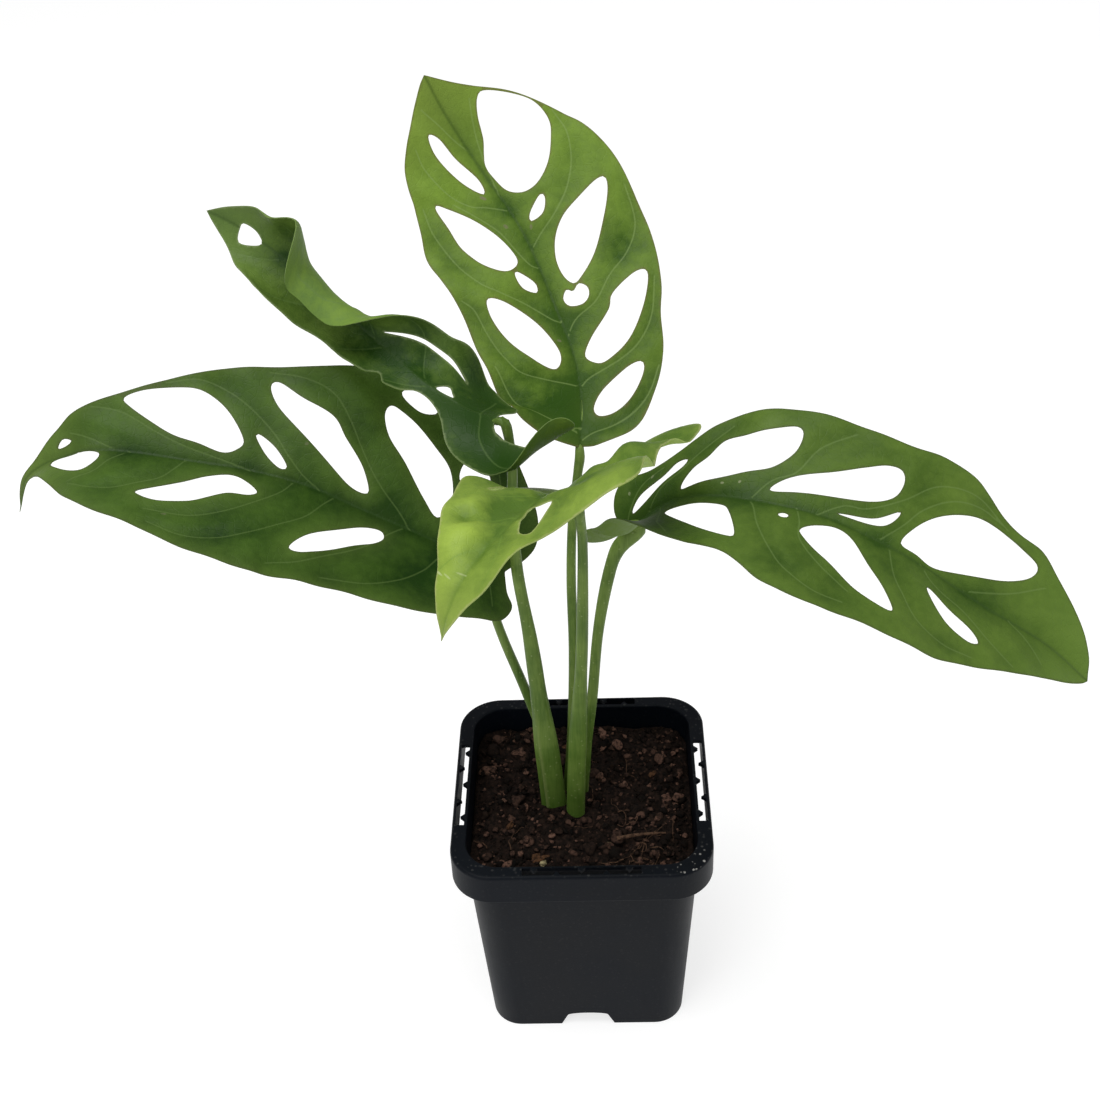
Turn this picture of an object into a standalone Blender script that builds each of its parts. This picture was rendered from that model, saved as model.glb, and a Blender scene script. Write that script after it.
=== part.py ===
"""Monstera adansonii with five leaves in a square nursery pot.

Sizes are in millimetres and become metres where a mesh is made. The frame has its origin
under the middle of the pot, on the ground, with +Z up and the photographed side towards -Y.
"""
import math
import random

import bpy
import numpy as np
from mathutils import Vector, geometry

MM = 0.001
gap = 0.3
slack = 0.1

# Pot
rimHalf = 42.5
rimCorner = 14.0
potHeight = 85.0
skirtHeight = 11.4
rimPlate = 1.3
rimEase = 1.2
mouthEase = 0.8
mouthDepth = 3.0
cornerSteps = 6
openingHalf = 37.4
openingCorner = 11.0
wall = 1.1
footHalf = 33.2
footCorner = 10.0
floorHeight = 8.5
floorThickness = 1.4
padRadius = 9.0
notchWidth = 18.6
notchTopWidth = 14.0
notchHeight = 6.4
notchEase = 1.2
slotLength = 38.0
slotInner = 38.5
slotOuter = 41.4
slotDepth = 4.0
toothSize = 1.7
drainRadius = 3.4
drainRing = 20.0
drainSides = 12

# Soil
soilTop = 77.0
soilHole = 65.5
soilGrid = 5.2
soilEdgeStep = 4.0
clodCount = 85
clodRadii = (1.3, 2.5)
clodSeed = 7

# Leaves and stalks
bladeThickness = 0.8
edgeStep = 5.0
gridStep = 7.0
stalkSides = 10
stalkFoot = 66.0
stalkStep = 7.0
stalkRun = 3.0

potBlack = (0.019, 0.021, 0.024)
soilBrown = (0.020, 0.012, 0.008)
stalkGreen = (0.105, 0.155, 0.045)
leafGreens = {
    "crown": (0.118, 0.196, 0.035),
    "right": (0.082, 0.160, 0.026),
    "left": (0.073, 0.145, 0.024),
    "front": (0.205, 0.330, 0.070),
    "folded": (0.060, 0.125, 0.024),
}

# Each leaf is drawn flat and then bent. "spine" is the midrib in space; its second point is
# where the stalk joins. "facing" is the side that the upper face looks to. Margins and holes
# are (distance along the midrib, distance to its left seen from the stalk). Fold is the angle
# in degrees at which a half leaves the midrib, curl its bend in degrees per 10 mm, both given
# at distances along the midrib.
leaves = {
    "crown": {
        "spine": [(3, 13, 182), (3, 24, 203), (4, 35, 211), (1, 49, 223), (-6, 64, 236), (-14, 78, 250),
                  (-26, 91, 264), (-37, 99, 280), (-43, 102, 292)],
        "facing": (0.12, -0.8, 0.6),
        "roll": [(0, 0), (100, 0)],
        "foldLeft": [(0, 10), (130, 10)],
        "foldRight": [(0, 10), (130, 10)],
        "curlLeft": [(0, -2), (130, -2)],
        "curlRight": [(0, -2), (130, -2)],
        "left": [(0, 1.5), (2, 10), (3.5, 15), (6, 20.5), (11, 24), (22, 26.5), (40, 28.5), (54, 28.5),
                 (68, 30.5), (76, 31.5), (83, 31), (91, 28), (99, 25), (105, 23.5), (111, 21),
                 (116, 17), (121, 12), (126, 7), (130, 3)],
        "right": [(130, -2.5), (127, -6), (122, -12), (116, -19), (111, -23.5), (105, -27.5),
                  (98, -31.5), (90, -35), (80, -37), (68, -36.5), (59, -36.5), (50, -35.5), (41, -33),
                  (34, -29.5), (26, -27.5), (18, -24), (10, -18.5), (4, -11.5), (0.5, -5), (0, -1.5)],
        "holes": [
            [(88, -3), (94, -1.8), (98.5, -1.8), (102, -3.6), (106, -6), (113, -8.5), (118, -11.5),
             (118.5, -14.5), (113, -21), (107, -25.5), (100, -26.5), (94, -24), (88, -19),
             (84.5, -12.5), (84.5, -7)],
            [(91, 4), (97, 7.5), (104, 9.5), (111, 10), (116, 8.5), (113, 6), (105, 5), (96, 2.5)],
            [(63, 9), (64.5, 13), (70, 17.5), (78, 20), (87, 20), (95.5, 19.5), (93, 16.5), (84, 11),
             (75, 7.5), (66, 5.5)],
            [(53.5, 4), (56, 7.5), (60, 8.5), (62, 7.5), (58, 4), (55.5, 3)],
            [(26.5, 6.5), (29, 11), (35, 15.5), (43, 19), (51, 20.5), (56, 19.5), (54, 15), (48, 10),
             (40, 6), (31, 4)],
            [(75.5, -4), (78, -5), (81, -10.5), (79.5, -11.5), (76, -8.5)],
            [(52, -8), (56, -6), (62, -6), (68, -8.5), (72.5, -13.5), (75, -21), (76.5, -29),
             (74.5, -30.5), (66, -23.5), (58, -17), (53, -11)],
            [(44.5, -8), (45.5, -4.2), (48.5, -3.2), (51, -5.2), (49.6, -7), (51.3, -9.5), (49, -11.6),
             (46, -10.8)],
            [(26, -7), (29, -3.5), (34, -7), (40, -15), (44, -18), (47.5, -27), (46, -30.5),
             (39, -26.5), (31, -18.5), (27, -11.5)],
            [(10.5, -5), (13, -3.5), (18, -7), (23, -15), (24, -20), (21, -20), (15, -15.5),
             (11.5, -10)],
        ],
    },
    "right": {
        "spine": [(-8, 14, 170), (16, 8, 184), (32, 0, 200), (49, -7, 204), (71, -15, 203),
                  (94, -24, 195), (118, -32, 181), (134, -37, 172), (146, -42, 162)],
        "facing": (0.1, -0.35, 0.92),
        "roll": [(0, 0), (100, 0)],
        "foldLeft": [(0, 30), (25, 18), (60, 12), (157, 8)],
        "foldRight": [(-12, 22), (5, 20), (30, 12), (157, 12)],
        "curlLeft": [(0, -14), (20, -10), (50, 0), (157, 0)],
        "curlRight": [(-12, 48), (10, 36), (35, 0), (157, 0)],
        "left": [(-1.5, 2), (-2, 6), (0, 11), (5, 14), (15, 13.5), (22, 15), (27, 18.5), (32, 23.5),
                 (38, 27.5), (46, 29.5), (58, 31), (70, 31), (82, 31.5), (91, 33), (100, 33),
                 (107, 30.5), (114, 27), (120, 25.5), (129, 25), (136, 20), (144, 13), (150, 8.5),
                 (154, 5)],
        "right": [(155, -3), (149, -8.5), (139, -14.5), (128, -20.5), (117, -26), (109, -29.5), (98, -31.5),
                  (86, -32.5), (78, -34), (72, -35), (64, -34), (57, -32), (50, -27), (43, -23.5),
                  (32, -21.5), (20, -20.5), (8, -20), (-3, -18.5), (-8.5, -16), (-8.5, -12), (-4, -7),
                  (-1.5, -2.5)],
        "holes": [
            [(4.5, 2.5), (6, 5), (10, 7.5), (18, 9), (23, 12), (26, 12), (24, 9.5), (18, 7), (10, 4)],
            [(24.5, 2.5), (27.5, 8), (31.5, 12), (35, 18), (41, 20.5), (48, 23), (54, 25), (56, 22.5),
             (55, 16.5), (50, 11), (42, 8), (33, 4.5)],
            [(51, 4), (55, 8.5), (65, 13.5), (73, 19), (78, 22.5), (82, 23), (84, 19.5), (83, 14),
             (77, 9.5), (67, 6.5), (58, 4.5)],
            [(71, 2.5), (78, 4.5), (82, 6.5), (86.5, 11), (86, 7.5), (83.5, 4.5), (78, 3)],
            [(90.5, 2.5), (92, 8.5), (96, 15), (102, 20), (109, 23), (118, 22.5), (129, 20.5),
             (129, 15.5), (121, 9.5), (110, 4.5), (102, 1.3), (96, 2)],
            [(55.5, -3.5), (57, -2.8), (58.5, -3.5), (58, -4.8), (56, -4.8)],
            [(63, -8), (66, -5), (72, -3), (78, -4.5), (85, -11), (91, -16.5), (95, -22.5), (89, -23),
             (80, -19.5), (71, -15.5), (65, -11)],
            [(102, -7), (110, -9), (118, -11.5), (121, -14.5), (118, -16.5), (111, -15), (104.5, -11)],
            [(21, -5.5), (26, -3.5), (38, -3.5), (42, -7), (46, -16), (44, -17.5), (36, -15),
             (27, -10.5)],
        ],
    },
    "left": {
        "spine": [(-5, 4, 160), (-21, 7, 169), (-41, 8, 180), (-64, 10, 192), (-85, 12, 202),
                  (-114, 13, 209), (-140, 14, 213), (-153, 15, 210), (-164, 16, 204), (-169, 17, 196),
                  (-172, 18, 188)],
        "facing": (0.0, -0.4, 0.92),
        "roll": [(0, 0), (100, 0)],
        "foldLeft": [(0, 16), (170, 16)],
        "foldRight": [(0, 16), (170, 16)],
        "curlLeft": [(0, 0), (170, 0)],
        "curlRight": [(0, 0), (170, 0)],
        "left": [(0, 1.5), (-2.5, 8), (-6, 12), (-5, 17.5), (-1, 21), (7, 23.5), (20, 28), (32, 31.5),
                 (44, 33), (56, 36), (66, 39), (76, 40), (86, 39), (97, 36), (110, 31), (122, 27.5),
                 (134, 21), (143, 12), (150, 5), (156, 2), (166, 0.8)],
        "right": [(166, -0.8), (156, -1.5), (150, -3.5), (143, -8.5), (137, -12.5), (126, -17.5),
                  (113, -24), (106, -27), (94, -31), (81, -34), (73, -36.5), (66, -40), (58, -43.5),
                  (50, -44), (42, -43), (34, -41.5), (26, -40.5), (18, -39), (11, -35.5), (4, -28),
                  (-2, -20), (-5, -12), (-4, -6), (-1, -1.5)],
        "holes": [
            [(87.5, -9), (89, -5.5), (93, -4), (100, -5.5), (108, -7), (116, -10.5), (122, -14),
             (124, -16.5), (119, -19.5), (110, -22), (102, -22), (94, -17.5)],
            [(138, -4), (140, -3), (143, -3), (141, -5.5)],
            [(128.5, 3), (131, 8), (134.5, 9), (140, 6.5), (145, 2.5), (142, 0.3), (131, 0.3)],
            [(73.5, -3.5), (75.5, -2.5), (80, -5.5), (84, -10.5), (83, -11.5), (78, -8.5)],
            [(48.5, -6), (50.5, -4.5), (56, -5.5), (64, -9.5), (73, -15.5), (80, -21.5), (83, -27),
             (81, -29), (74, -25.5), (66, -23), (61, -18), (53, -12)],
            [(26, -7), (32, -10.5), (41, -18), (49, -24), (53.5, -30), (52, -33.5), (44, -31.5),
             (35, -27), (27.5, -22), (23.5, -13)],
            [(51, -38.5), (47, -36), (42.5, -35), (38.5, -37), (41, -40.5), (47, -41.5)],
            [(24, -21), (24, -27), (18, -27.5), (14, -23), (18, -18)],
            [(80, 8), (82, 10.5), (88, 12), (93, 14.5), (99, 17.5), (107, 19), (114, 17.5), (110, 14),
             (102, 10), (95, 5.5), (87, 4)],
            [(39, 7), (41, 10.5), (48, 16), (56, 23.5), (61, 27), (64.5, 26.5), (61, 20), (54, 13),
             (47, 7.5), (41, 5)],
        ],
    },
    "front": {
        "spine": [(8, -5, 206), (4, -15, 210.5), (0, -25, 217), (-6, -36, 226.5), (-14, -52, 229.5),
                  (-23, -66, 227.5), (-30, -75, 218.5), (-32, -78, 211.5)],
        "facing": (-0.05, 0.15, 1.0),
        "roll": [(0, 0), (100, 0)],
        "foldLeft": [(-15, 59), (0, 50), (25, 32), (50, 8), (88, 0)],
        "foldRight": [(0, 8), (30, 12), (50, 14), (88, 0)],
        "curlLeft": [(-15, -12), (10, -8), (40, 0), (88, 0)],
        "curlRight": [(0, -5), (88, -5)],
        "swells": [(16, 11, 4.5, 6), (8, 21, 5, 6)],
        "left": [(-1, 1.5), (-6, 5), (-13, 10), (-16, 18), (-16, 26), (-15, 33), (-12.5, 38), (-9, 38.5),
                 (-5, 36), (1, 33), (8, 29.5), (16, 28), (24, 30), (30, 33), (34, 33.5), (37, 30.5),
                 (40, 24), (45, 18.5), (53, 13.5), (61, 10.5), (69, 9), (76, 5.5), (80, 3.5)],
        "right": [(82, -2.5), (76, -5), (68, -9), (60, -13.5), (52, -18.3), (45, -19), (38, -21), (31, -23),
                  (25, -22.5), (19, -24.5), (13, -29.5), (7, -32), (2, -31.5), (-2, -28), (-3.5, -22),
                  (-5, -15), (-5, -8), (-3, -3), (-1, -1.5)],
        "holes": [
            [(37, 7), (42, 8.3), (51, 9), (51, 5.5), (45, 3), (40, 3)],
            [(25, -9.5), (30, -10.3), (34.5, -12), (34, -13.3), (29, -11.8)],
        ],
    },
    "folded": {
        "spine": [(-8, 3, 226), (-20, 7, 225), (-29, 12, 225), (-41, 20, 229), (-54, 31, 235),
                  (-68, 41, 244), (-82, 48, 255), (-97, 55, 264), (-107, 57, 269)],
        "facing": (0.0, -0.5, 0.85),
        "roll": [(0, -22), (30, -12), (60, 45), (112, 45)],
        "foldLeft": [(-28, 0), (-8, -52), (0, -62), (15, -55), (35, -20), (52, 0), (112, 0)],
        "foldRight": [(0, -30), (28, -25), (42, -8), (54, 12), (64, 15), (76, 5), (84, -8), (92, 0),
                      (112, 0)],
        "curlLeft": [(-20, 45), (0, 36), (30, 40), (50, 55), (90, 65), (112, 20)],
        "curlRight": [(-20, -5), (15, 0), (32, 50), (50, 80), (60, 90), (74, 85), (84, 36), (93, 45),
                      (112, 40)],
        "left": [(0.8, 1.8), (0.8, 3.4), (-1.5, 6), (-9, 8.5), (-18, 10), (-26, 12), (-28, 17),
                 (-21, 22), (-10, 23.5), (-1, 20), (5, 17), (11, 12.5), (16.5, 6.5), (22, 3.8), (27, 4),
                 (30.5, 7.5), (35, 9), (39, 7), (43, 10), (49, 11.5), (56, 11.5), (63, 12.5),
                 (70, 14.5), (78, 15), (87, 13.5), (95, 11), (101, 7.5), (107, 4)],
        "right": [(109, -2.5), (104, -6.5), (98, -12.5), (91, -19), (84, -23.5), (76, -21), (66, -18),
                  (56, -17.5), (48, -17), (40, -16), (31, -17), (24, -19.5), (12, -21), (3, -17),
                  (-1, -10), (0.8, -5), (0.8, -2)],
        "holes": [
            [(93, 0.5), (96, 3), (99.5, 4), (101, 1), (100.5, -2), (96, -2)],
            [(19, -12), (26, -11), (34, -9.7), (41, -6.6), (47, -3.4), (42, -7.2), (35, -10.6),
             (27, -12.3)],
            [(16.5, -1), (22.5, -0.8), (22.5, -3), (20.5, -5), (18, -3)],
        ],
    },
}

# Each stalk runs up from the soil to its leaf. "foot" is where it leaves the soil, "way" its
# points above that, "arrives" its direction at a blade's edge, "width" and "depth" its section
# in mm at heights along it from 0 to 1.
stalks = {
    "front": {
        "meets": 2.5,
        "foot": (-2, -6.5),
        "way": [(-1, -7.5, 100), (0.5, -9, 125), (2, -11, 150), (3, -13, 175), (3.5, -14.5, 196)],
        "width": [(0, 6.3), (0.3, 6.1), (0.55, 3.8), (1, 2.8)],
        "depth": [(0, 4.8), (0.3, 4.4), (0.55, 3.4), (1, 2.8)],
    },
    "folded": {
        "meets": "edge",
        "arrives": (-0.6, 0.1, 0.8),
        "foot": (-9.5, -3),
        "way": [(-10.5, -2, 95), (-12, 0, 115), (-14.4, 3, 145), (-17.2, 5, 170), (-17.6, 6, 192),
                (-16.8, 6.4, 209)],
        "width": [(0, 8.8), (0.2, 8.4), (0.4, 5.2), (0.6, 3.8), (1, 2.8)],
        "depth": [(0, 4.0), (0.2, 4.0), (0.4, 3.6), (0.6, 3.4), (1, 2.8)],
    },
    "left": {
        "meets": 2.5,
        "foot": (-9.4, 5.4),
        "way": [(-12.3, 6.8, 100), (-17.5, 8, 120), (-23, 8, 140), (-25.5, 8, 152), (-25, 7.5, 161)],
        "width": [(0, 3.6), (1, 2.9)],
        "depth": [(0, 3.6), (1, 2.9)],
    },
    "crown": {
        "meets": "edge",
        "arrives": (0, 0.45, 0.9),
        "foot": (-4.3, 4.6),
        "way": [(-2.2, 6, 105), (-1, 8.5, 135), (-1, 13, 160), (0, 18, 180), (2, 22, 194)],
        "width": [(0, 3.8), (1, 2.8)],
        "depth": [(0, 3.8), (1, 2.8)],
    },
    "right": {
        "meets": 2.5,
        "foot": (0.8, 2),
        "way": [(2.2, 2.5, 100), (4.6, 3.2, 120), (7, 5, 145), (10.5, 7, 165), (14, 8, 176)],
        "width": [(0, 3.6), (0.6, 3.4), (0.85, 4.0), (0.94, 5.4), (1, 4.2)],
        "depth": [(0, 3.6), (0.6, 3.2), (1, 3.6)],
    },
}


def clearScene():
    for thing in list(bpy.data.objects):
        bpy.data.objects.remove(thing, do_unlink=True)


def makeMaterial(name, colour, roughness, metallic=0.0):
    material = bpy.data.materials.new(name)
    material.use_nodes = True
    shader = material.node_tree.nodes["Principled BSDF"]
    shader.inputs["Base Color"].default_value = (*colour, 1.0)
    shader.inputs["Roughness"].default_value = roughness
    shader.inputs["Metallic"].default_value = metallic
    return material


def makeObject(name, points, faces, material):
    mesh = bpy.data.meshes.new(name)
    mesh.from_pydata([tuple(float(value) * MM for value in point) for point in points], [], faces)
    mesh.materials.append(material)
    mesh.update()
    thing = bpy.data.objects.new(name, mesh)
    bpy.context.collection.objects.link(thing)
    return thing


def smoothCurve(points, closed, steps):
    """A curve through the points, with the given number of pieces from each to the next."""
    points = np.asarray(points, float)
    count = len(points)
    curve = []
    for index in range(count if closed else count - 1):
        start = points[index]
        end = points[(index + 1) % count]
        before = points[index - 1] if closed or index > 0 else 2 * start - end
        after = points[(index + 2) % count] if closed or index + 2 < count else 2 * end - start
        for step in range(steps):
            t = step / steps
            curve.append(0.5 * (2 * start + (end - before) * t
                                + (2 * before - 5 * start + 4 * end - after) * t ** 2
                                + (3 * start - before - 3 * end + after) * t ** 3))
    if not closed:
        curve.append(points[-1])
    return np.array(curve)


def evenSteps(curve, closed, step):
    """The curve again, with its points about one step apart."""
    loop = np.vstack([curve, curve[:1]]) if closed else curve
    lengths = np.concatenate([[0.0], np.cumsum(np.linalg.norm(np.diff(loop, axis=0), axis=1))])
    pieces = max(5 if closed else 1, round(lengths[-1] / step))
    places = np.linspace(0.0, lengths[-1], pieces + 1)
    if closed:
        places = places[:-1]
    return np.stack([np.interp(places, lengths, loop[:, axis]) for axis in range(loop.shape[1])], 1)


def eased(knots, place):
    """A value that passes smoothly from knot to knot and stays level beyond the ends."""
    places, values = np.array(knots, float).T
    place = np.clip(place, places[0], places[-1])
    index = np.clip(np.searchsorted(places, place, side="right") - 1, 0, len(places) - 2)
    t = (place - places[index]) / (places[index + 1] - places[index])
    return values[index] + (values[index + 1] - values[index]) * t * t * (3 - 2 * t)


def unit(vectors):
    return vectors / np.linalg.norm(vectors, axis=-1, keepdims=True)


def spineFrame(leaf, along):
    """The midrib's point, direction, upward normal and leftward side at each distance."""
    curve = smoothCurve(leaf["spine"], False, 24)
    lengths = np.concatenate([[0.0], np.cumsum(np.linalg.norm(np.diff(curve, axis=0), axis=1))])
    lengths -= lengths[24]

    def pointAt(distance):
        inside = np.clip(distance, lengths[0], lengths[-1])
        return np.stack([np.interp(inside, lengths, curve[:, axis]) for axis in range(3)], -1)

    behind = np.clip(along - 2.0, lengths[0], lengths[-1] - 4.0)
    direction = unit(pointAt(behind + 4.0) - pointAt(behind))
    beyond = along - np.clip(along, lengths[0], lengths[-1])
    facing = np.array(leaf["facing"], float)
    level = unit(facing - direction * (direction @ facing)[:, None])
    aside = np.cross(level, direction)
    roll = np.radians(eased(leaf["roll"], along))[:, None]
    normal = level * np.cos(roll) + aside * np.sin(roll)
    return pointAt(along) + direction * beyond[:, None], direction, normal, np.cross(normal, direction)


def swelling(leaf, along, across):
    """How far the blade stands out of its plain bend, in low domes."""
    height = np.zeros(len(along))
    for middle, aside, rise, reach in leaf.get("swells", []):
        height += rise * np.exp(-((along - middle) ** 2 + (across - aside) ** 2) / reach ** 2)
    return height


def bladePoints(leaf, flat):
    """Where the points of the flat leaf lie once it is folded, curled, bent and swollen."""
    along, across = flat[:, 0], flat[:, 1]
    point, direction, normal, side = spineFrame(leaf, along)
    onLeft = across > 0
    fold = np.radians(np.where(onLeft, eased(leaf["foldLeft"], along), eased(leaf["foldRight"], along)))
    curl = np.where(onLeft, eased(leaf["curlLeft"], along), eased(leaf["curlRight"], along))
    curl = np.radians(curl) / 10 + 1e-9
    end = fold + curl * np.abs(across)
    outward = np.sign(across) * (np.sin(end) - np.sin(fold)) / curl
    upward = (np.cos(fold) - np.cos(end)) / curl
    height = swelling(leaf, along, across)
    outward -= np.sign(across) * np.sin(end) * height
    upward += np.cos(end) * height
    return point + side * outward[:, None] + normal * upward[:, None]


def bladeNormals(leaf, flat):
    reach = 0.6
    ahead = bladePoints(leaf, flat + [reach, 0]) - bladePoints(leaf, flat - [reach, 0])
    aside = bladePoints(leaf, flat + [0, reach]) - bladePoints(leaf, flat - [0, reach])
    return unit(np.cross(ahead, aside))


def insideLoop(points, loop):
    """Whether each point is inside the closed loop."""
    inside = np.zeros(len(points), bool)
    ends = np.roll(loop, -1, axis=0)
    for (x0, y0), (x1, y1) in zip(loop, ends):
        if y0 == y1:
            continue
        crosses = (y0 > points[:, 1]) != (y1 > points[:, 1])
        inside ^= crosses & (points[:, 0] < (x1 - x0) * (points[:, 1] - y0) / (y1 - y0) + x0)
    return inside


def clearOf(points, loops, distance):
    """Whether each point keeps its distance from the points of every loop."""
    clear = np.ones(len(points), bool)
    for loop in loops:
        apart = np.linalg.norm(points[:, None] - loop[None], axis=2).min(axis=1)
        clear &= apart > distance
    return clear


def triangulate(outline, holes, inner):
    """Points and anticlockwise triangles of a flat outline with holes and inner points."""
    loops = [outline, *holes]
    points = np.vstack([*loops, inner]) if len(inner) else np.vstack(loops)
    edges = []
    first = 0
    for loop in loops:
        count = len(loop)
        edges += [(first + index, first + (index + 1) % count) for index in range(count)]
        first += count
    result = geometry.delaunay_2d_cdt([Vector(point) for point in points], edges, [], 0, 1e-6)
    points = np.array([tuple(point) for point in result[0]])
    triangles = np.array([face for face in result[2] if len(face) == 3])
    centres = points[triangles].mean(axis=1)
    kept = insideLoop(centres, outline)
    for hole in holes:
        kept &= ~insideLoop(centres, hole)
    return points, triangles[kept]


def edgeOfSheet(triangles):
    """The directed edges that only one triangle has."""
    edges = {(int(face[turn]), int(face[turn - 2])) for face in triangles for turn in range(3)}
    return [edge for edge in edges if (edge[1], edge[0]) not in edges]


def hexGrid(low, high, step):
    rows = []
    for row, y in enumerate(np.arange(low[1], high[1], step * math.sqrt(3) / 2)):
        rows += [(x, y) for x in np.arange(low[0] + step / 2 * (row % 2), high[0], step)]
    return np.array(rows)


def leafLoops(leaf, step):
    tip = [(midribLength(leaf), 0)]
    base = [(0, 0)]
    margin = smoothCurve(base + leaf["left"] + tip, False, 6)[:-1]
    other = smoothCurve(tip + leaf["right"] + base, False, 6)[:-1]
    outline = np.vstack([evenSteps(margin, False, step)[:-1], evenSteps(other, False, step)[:-1]])
    holes = [evenSteps(smoothCurve(hole, True, 6), True, step * 0.8) for hole in leaf["holes"]]
    return outline[::-1], holes


def midribLength(leaf):
    curve = smoothCurve(leaf["spine"][1:], False, 24)
    return float(np.linalg.norm(np.diff(curve, axis=0), axis=1).sum())


def makeBlade(name, leaf):
    """One leaf blade: its flat outline cut into triangles, bent, and given a thickness."""
    outline, holes = leafLoops(leaf, edgeStep)
    grid = hexGrid(outline.min(axis=0), outline.max(axis=0), gridStep)
    inner = grid[insideLoop(grid, outline) & clearOf(grid, [outline, *holes], gridStep * 0.45)]
    for hole in holes:
        inner = inner[~insideLoop(inner, hole)]
    flat, triangles = triangulate(outline, holes, inner)
    middle = bladePoints(leaf, flat)
    half = bladeNormals(leaf, flat) * bladeThickness / 2
    count = len(flat)
    faces = [tuple(map(int, face)) for face in triangles]
    faces += [tuple(int(corner) + count for corner in face[::-1]) for face in triangles]
    for start, end in edgeOfSheet(triangles):
        faces += [(end, start, start + count), (end, start + count, end + count)]
    material = makeMaterial(name, leafGreens[name.split("_")[0]], 0.38)
    return makeObject(name, np.vstack([middle + half, middle - half]), faces, material)


def sweepStalk(name, way, widths, depths, ends):
    """A tapering tube with an oval section whose wide axis stays close to the X axis."""
    count = len(way)
    ahead = np.vstack([way[1:], way[-1:]]) - np.vstack([way[:1], way[:-1]])
    direction = unit(ahead)
    direction[0], direction[-1] = ends
    wide = unit(np.cross(np.cross(direction, [1.0, 0.0, 0.0]), direction))
    deep = np.cross(direction, wide)
    angles = np.arange(stalkSides) * 2 * math.pi / stalkSides
    points = []
    for index in range(count):
        for angle in angles:
            points.append(way[index] + wide[index] * math.cos(angle) * widths[index] / 2
                          + deep[index] * math.sin(angle) * depths[index] / 2)
    faces = [tuple(range(stalkSides))[::-1]]
    for index in range(count - 1):
        low, high = index * stalkSides, (index + 1) * stalkSides
        for side in range(stalkSides):
            after = (side + 1) % stalkSides
            faces += [(low + side, low + after, high + after), (low + side, high + after, high + side)]
    faces.append(tuple((count - 1) * stalkSides + side for side in range(stalkSides)))
    return makeObject(name, points, faces, makeMaterial(name, stalkGreen, 0.42))


def stalkEnd(name):
    """The last two points of a stalk and its direction there, just short of its blade."""
    leaf = leaves[name]
    if stalks[name]["meets"] == "edge":
        point, along, _, _ = spineFrame(leaf, np.array([0.0]))
        direction = unit(np.array(stalks[name]["arrives"]))
        tilt = np.linalg.norm(np.cross(direction, along[0]))
        end = point[0] - along[0] * (gap + slack + stalks[name]["width"][-1][1] / 2 * tilt)
        return [end - direction * stalkRun, end], direction
    point, _, normal, _ = spineFrame(leaf, np.array([stalks[name]["meets"]]))
    end = point[0] - normal[0] * (bladeThickness / 2 + gap)
    return [end - normal[0] * stalkRun, end], normal[0]


def makeStalk(name):
    stalk = stalks[name]
    x, y = stalk["foot"]
    last, direction = stalkEnd(name)
    buried = [(x, y, stalkFoot), (x, y, 70), (x, y, 75)]
    above = smoothCurve([(x, y, 79), *stalk["way"], *last], False, 12)
    way = np.vstack([buried, evenSteps(above, False, stalkStep)])
    height = np.concatenate([[0.0], np.cumsum(np.linalg.norm(np.diff(way, axis=0), axis=1))])
    height /= height[-1]
    widths = eased(stalk["width"], height)
    depths = eased(stalk["depth"], height)
    ends = (np.array([0.0, 0.0, 1.0]), direction)
    return sweepStalk(name + "_leaf_stalk", way, widths, depths, ends)


def squareLoop(half, corner, perCorner):
    """A square with round corners, anticlockwise from the middle of its right side."""
    loop = []
    for quarter in range(4):
        start = quarter * math.pi / 2
        centre = (half - corner) * math.sqrt(2)
        middle = start + math.pi / 4
        for step in range(perCorner + 1):
            angle = start + step / perCorner * math.pi / 2
            loop.append((centre * math.cos(middle) + corner * math.cos(angle),
                         centre * math.sin(middle) + corner * math.sin(angle)))
    return np.array(loop)


def loftShell(name, profile, perCorner, material):
    """A closed body from square loops stacked in order, its first and last ones capped."""
    points, faces = [], []
    count = 4 * (perCorner + 1)
    for half, corner, z in profile:
        points += [(x, y, z) for x, y in squareLoop(half, corner, perCorner)]
    for level in range(len(profile) - 1):
        low, high = level * count, (level + 1) * count
        for side in range(count):
            after = (side + 1) % count
            faces.append((low + side, low + after, high + after, high + side))
    faces.append(tuple(range(count))[::-1])
    faces.append(tuple((len(profile) - 1) * count + side for side in range(count)))
    return makeObject(name, points, faces, material)


def bodyHalf(z):
    """Half the pot's outer width at a height, below its rim."""
    return footHalf + (openingHalf + wall - footHalf) * z / potHeight


def bodyCorner(z):
    return footCorner + (openingCorner + wall - footCorner) * z / potHeight


def makeCutter(name, points, faces):
    cutter = makeObject(name, points, faces, makeMaterial(name, potBlack, 0.42))
    cutter.hide_render = True
    cutter.display_type = "WIRE"
    return cutter


def prismFaces(count):
    """The faces of a prism whose points are its first outline and then its second."""
    faces = [tuple(range(count))[::-1], tuple(range(count, 2 * count))]
    for side in range(count):
        after = (side + 1) % count
        faces.append((side, after, after + count, side + count))
    return faces


def uprightCutter(name, outline, low, high):
    points = [(x, y, low) for x, y in outline] + [(x, y, high) for x, y in outline]
    return makeCutter(name, points, prismFaces(len(outline)))


def turned(points, quarter):
    """The points turned about the pot's axis by quarter turns."""
    turn = np.array([(1, 0), (0, 1), (-1, 0), (0, -1)][quarter])
    points = np.asarray(points, float)
    spun = points.copy()
    spun[:, 0] = points[:, 0] * turn[0] - points[:, 1] * turn[1]
    spun[:, 1] = points[:, 0] * turn[1] + points[:, 1] * turn[0]
    return spun


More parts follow.
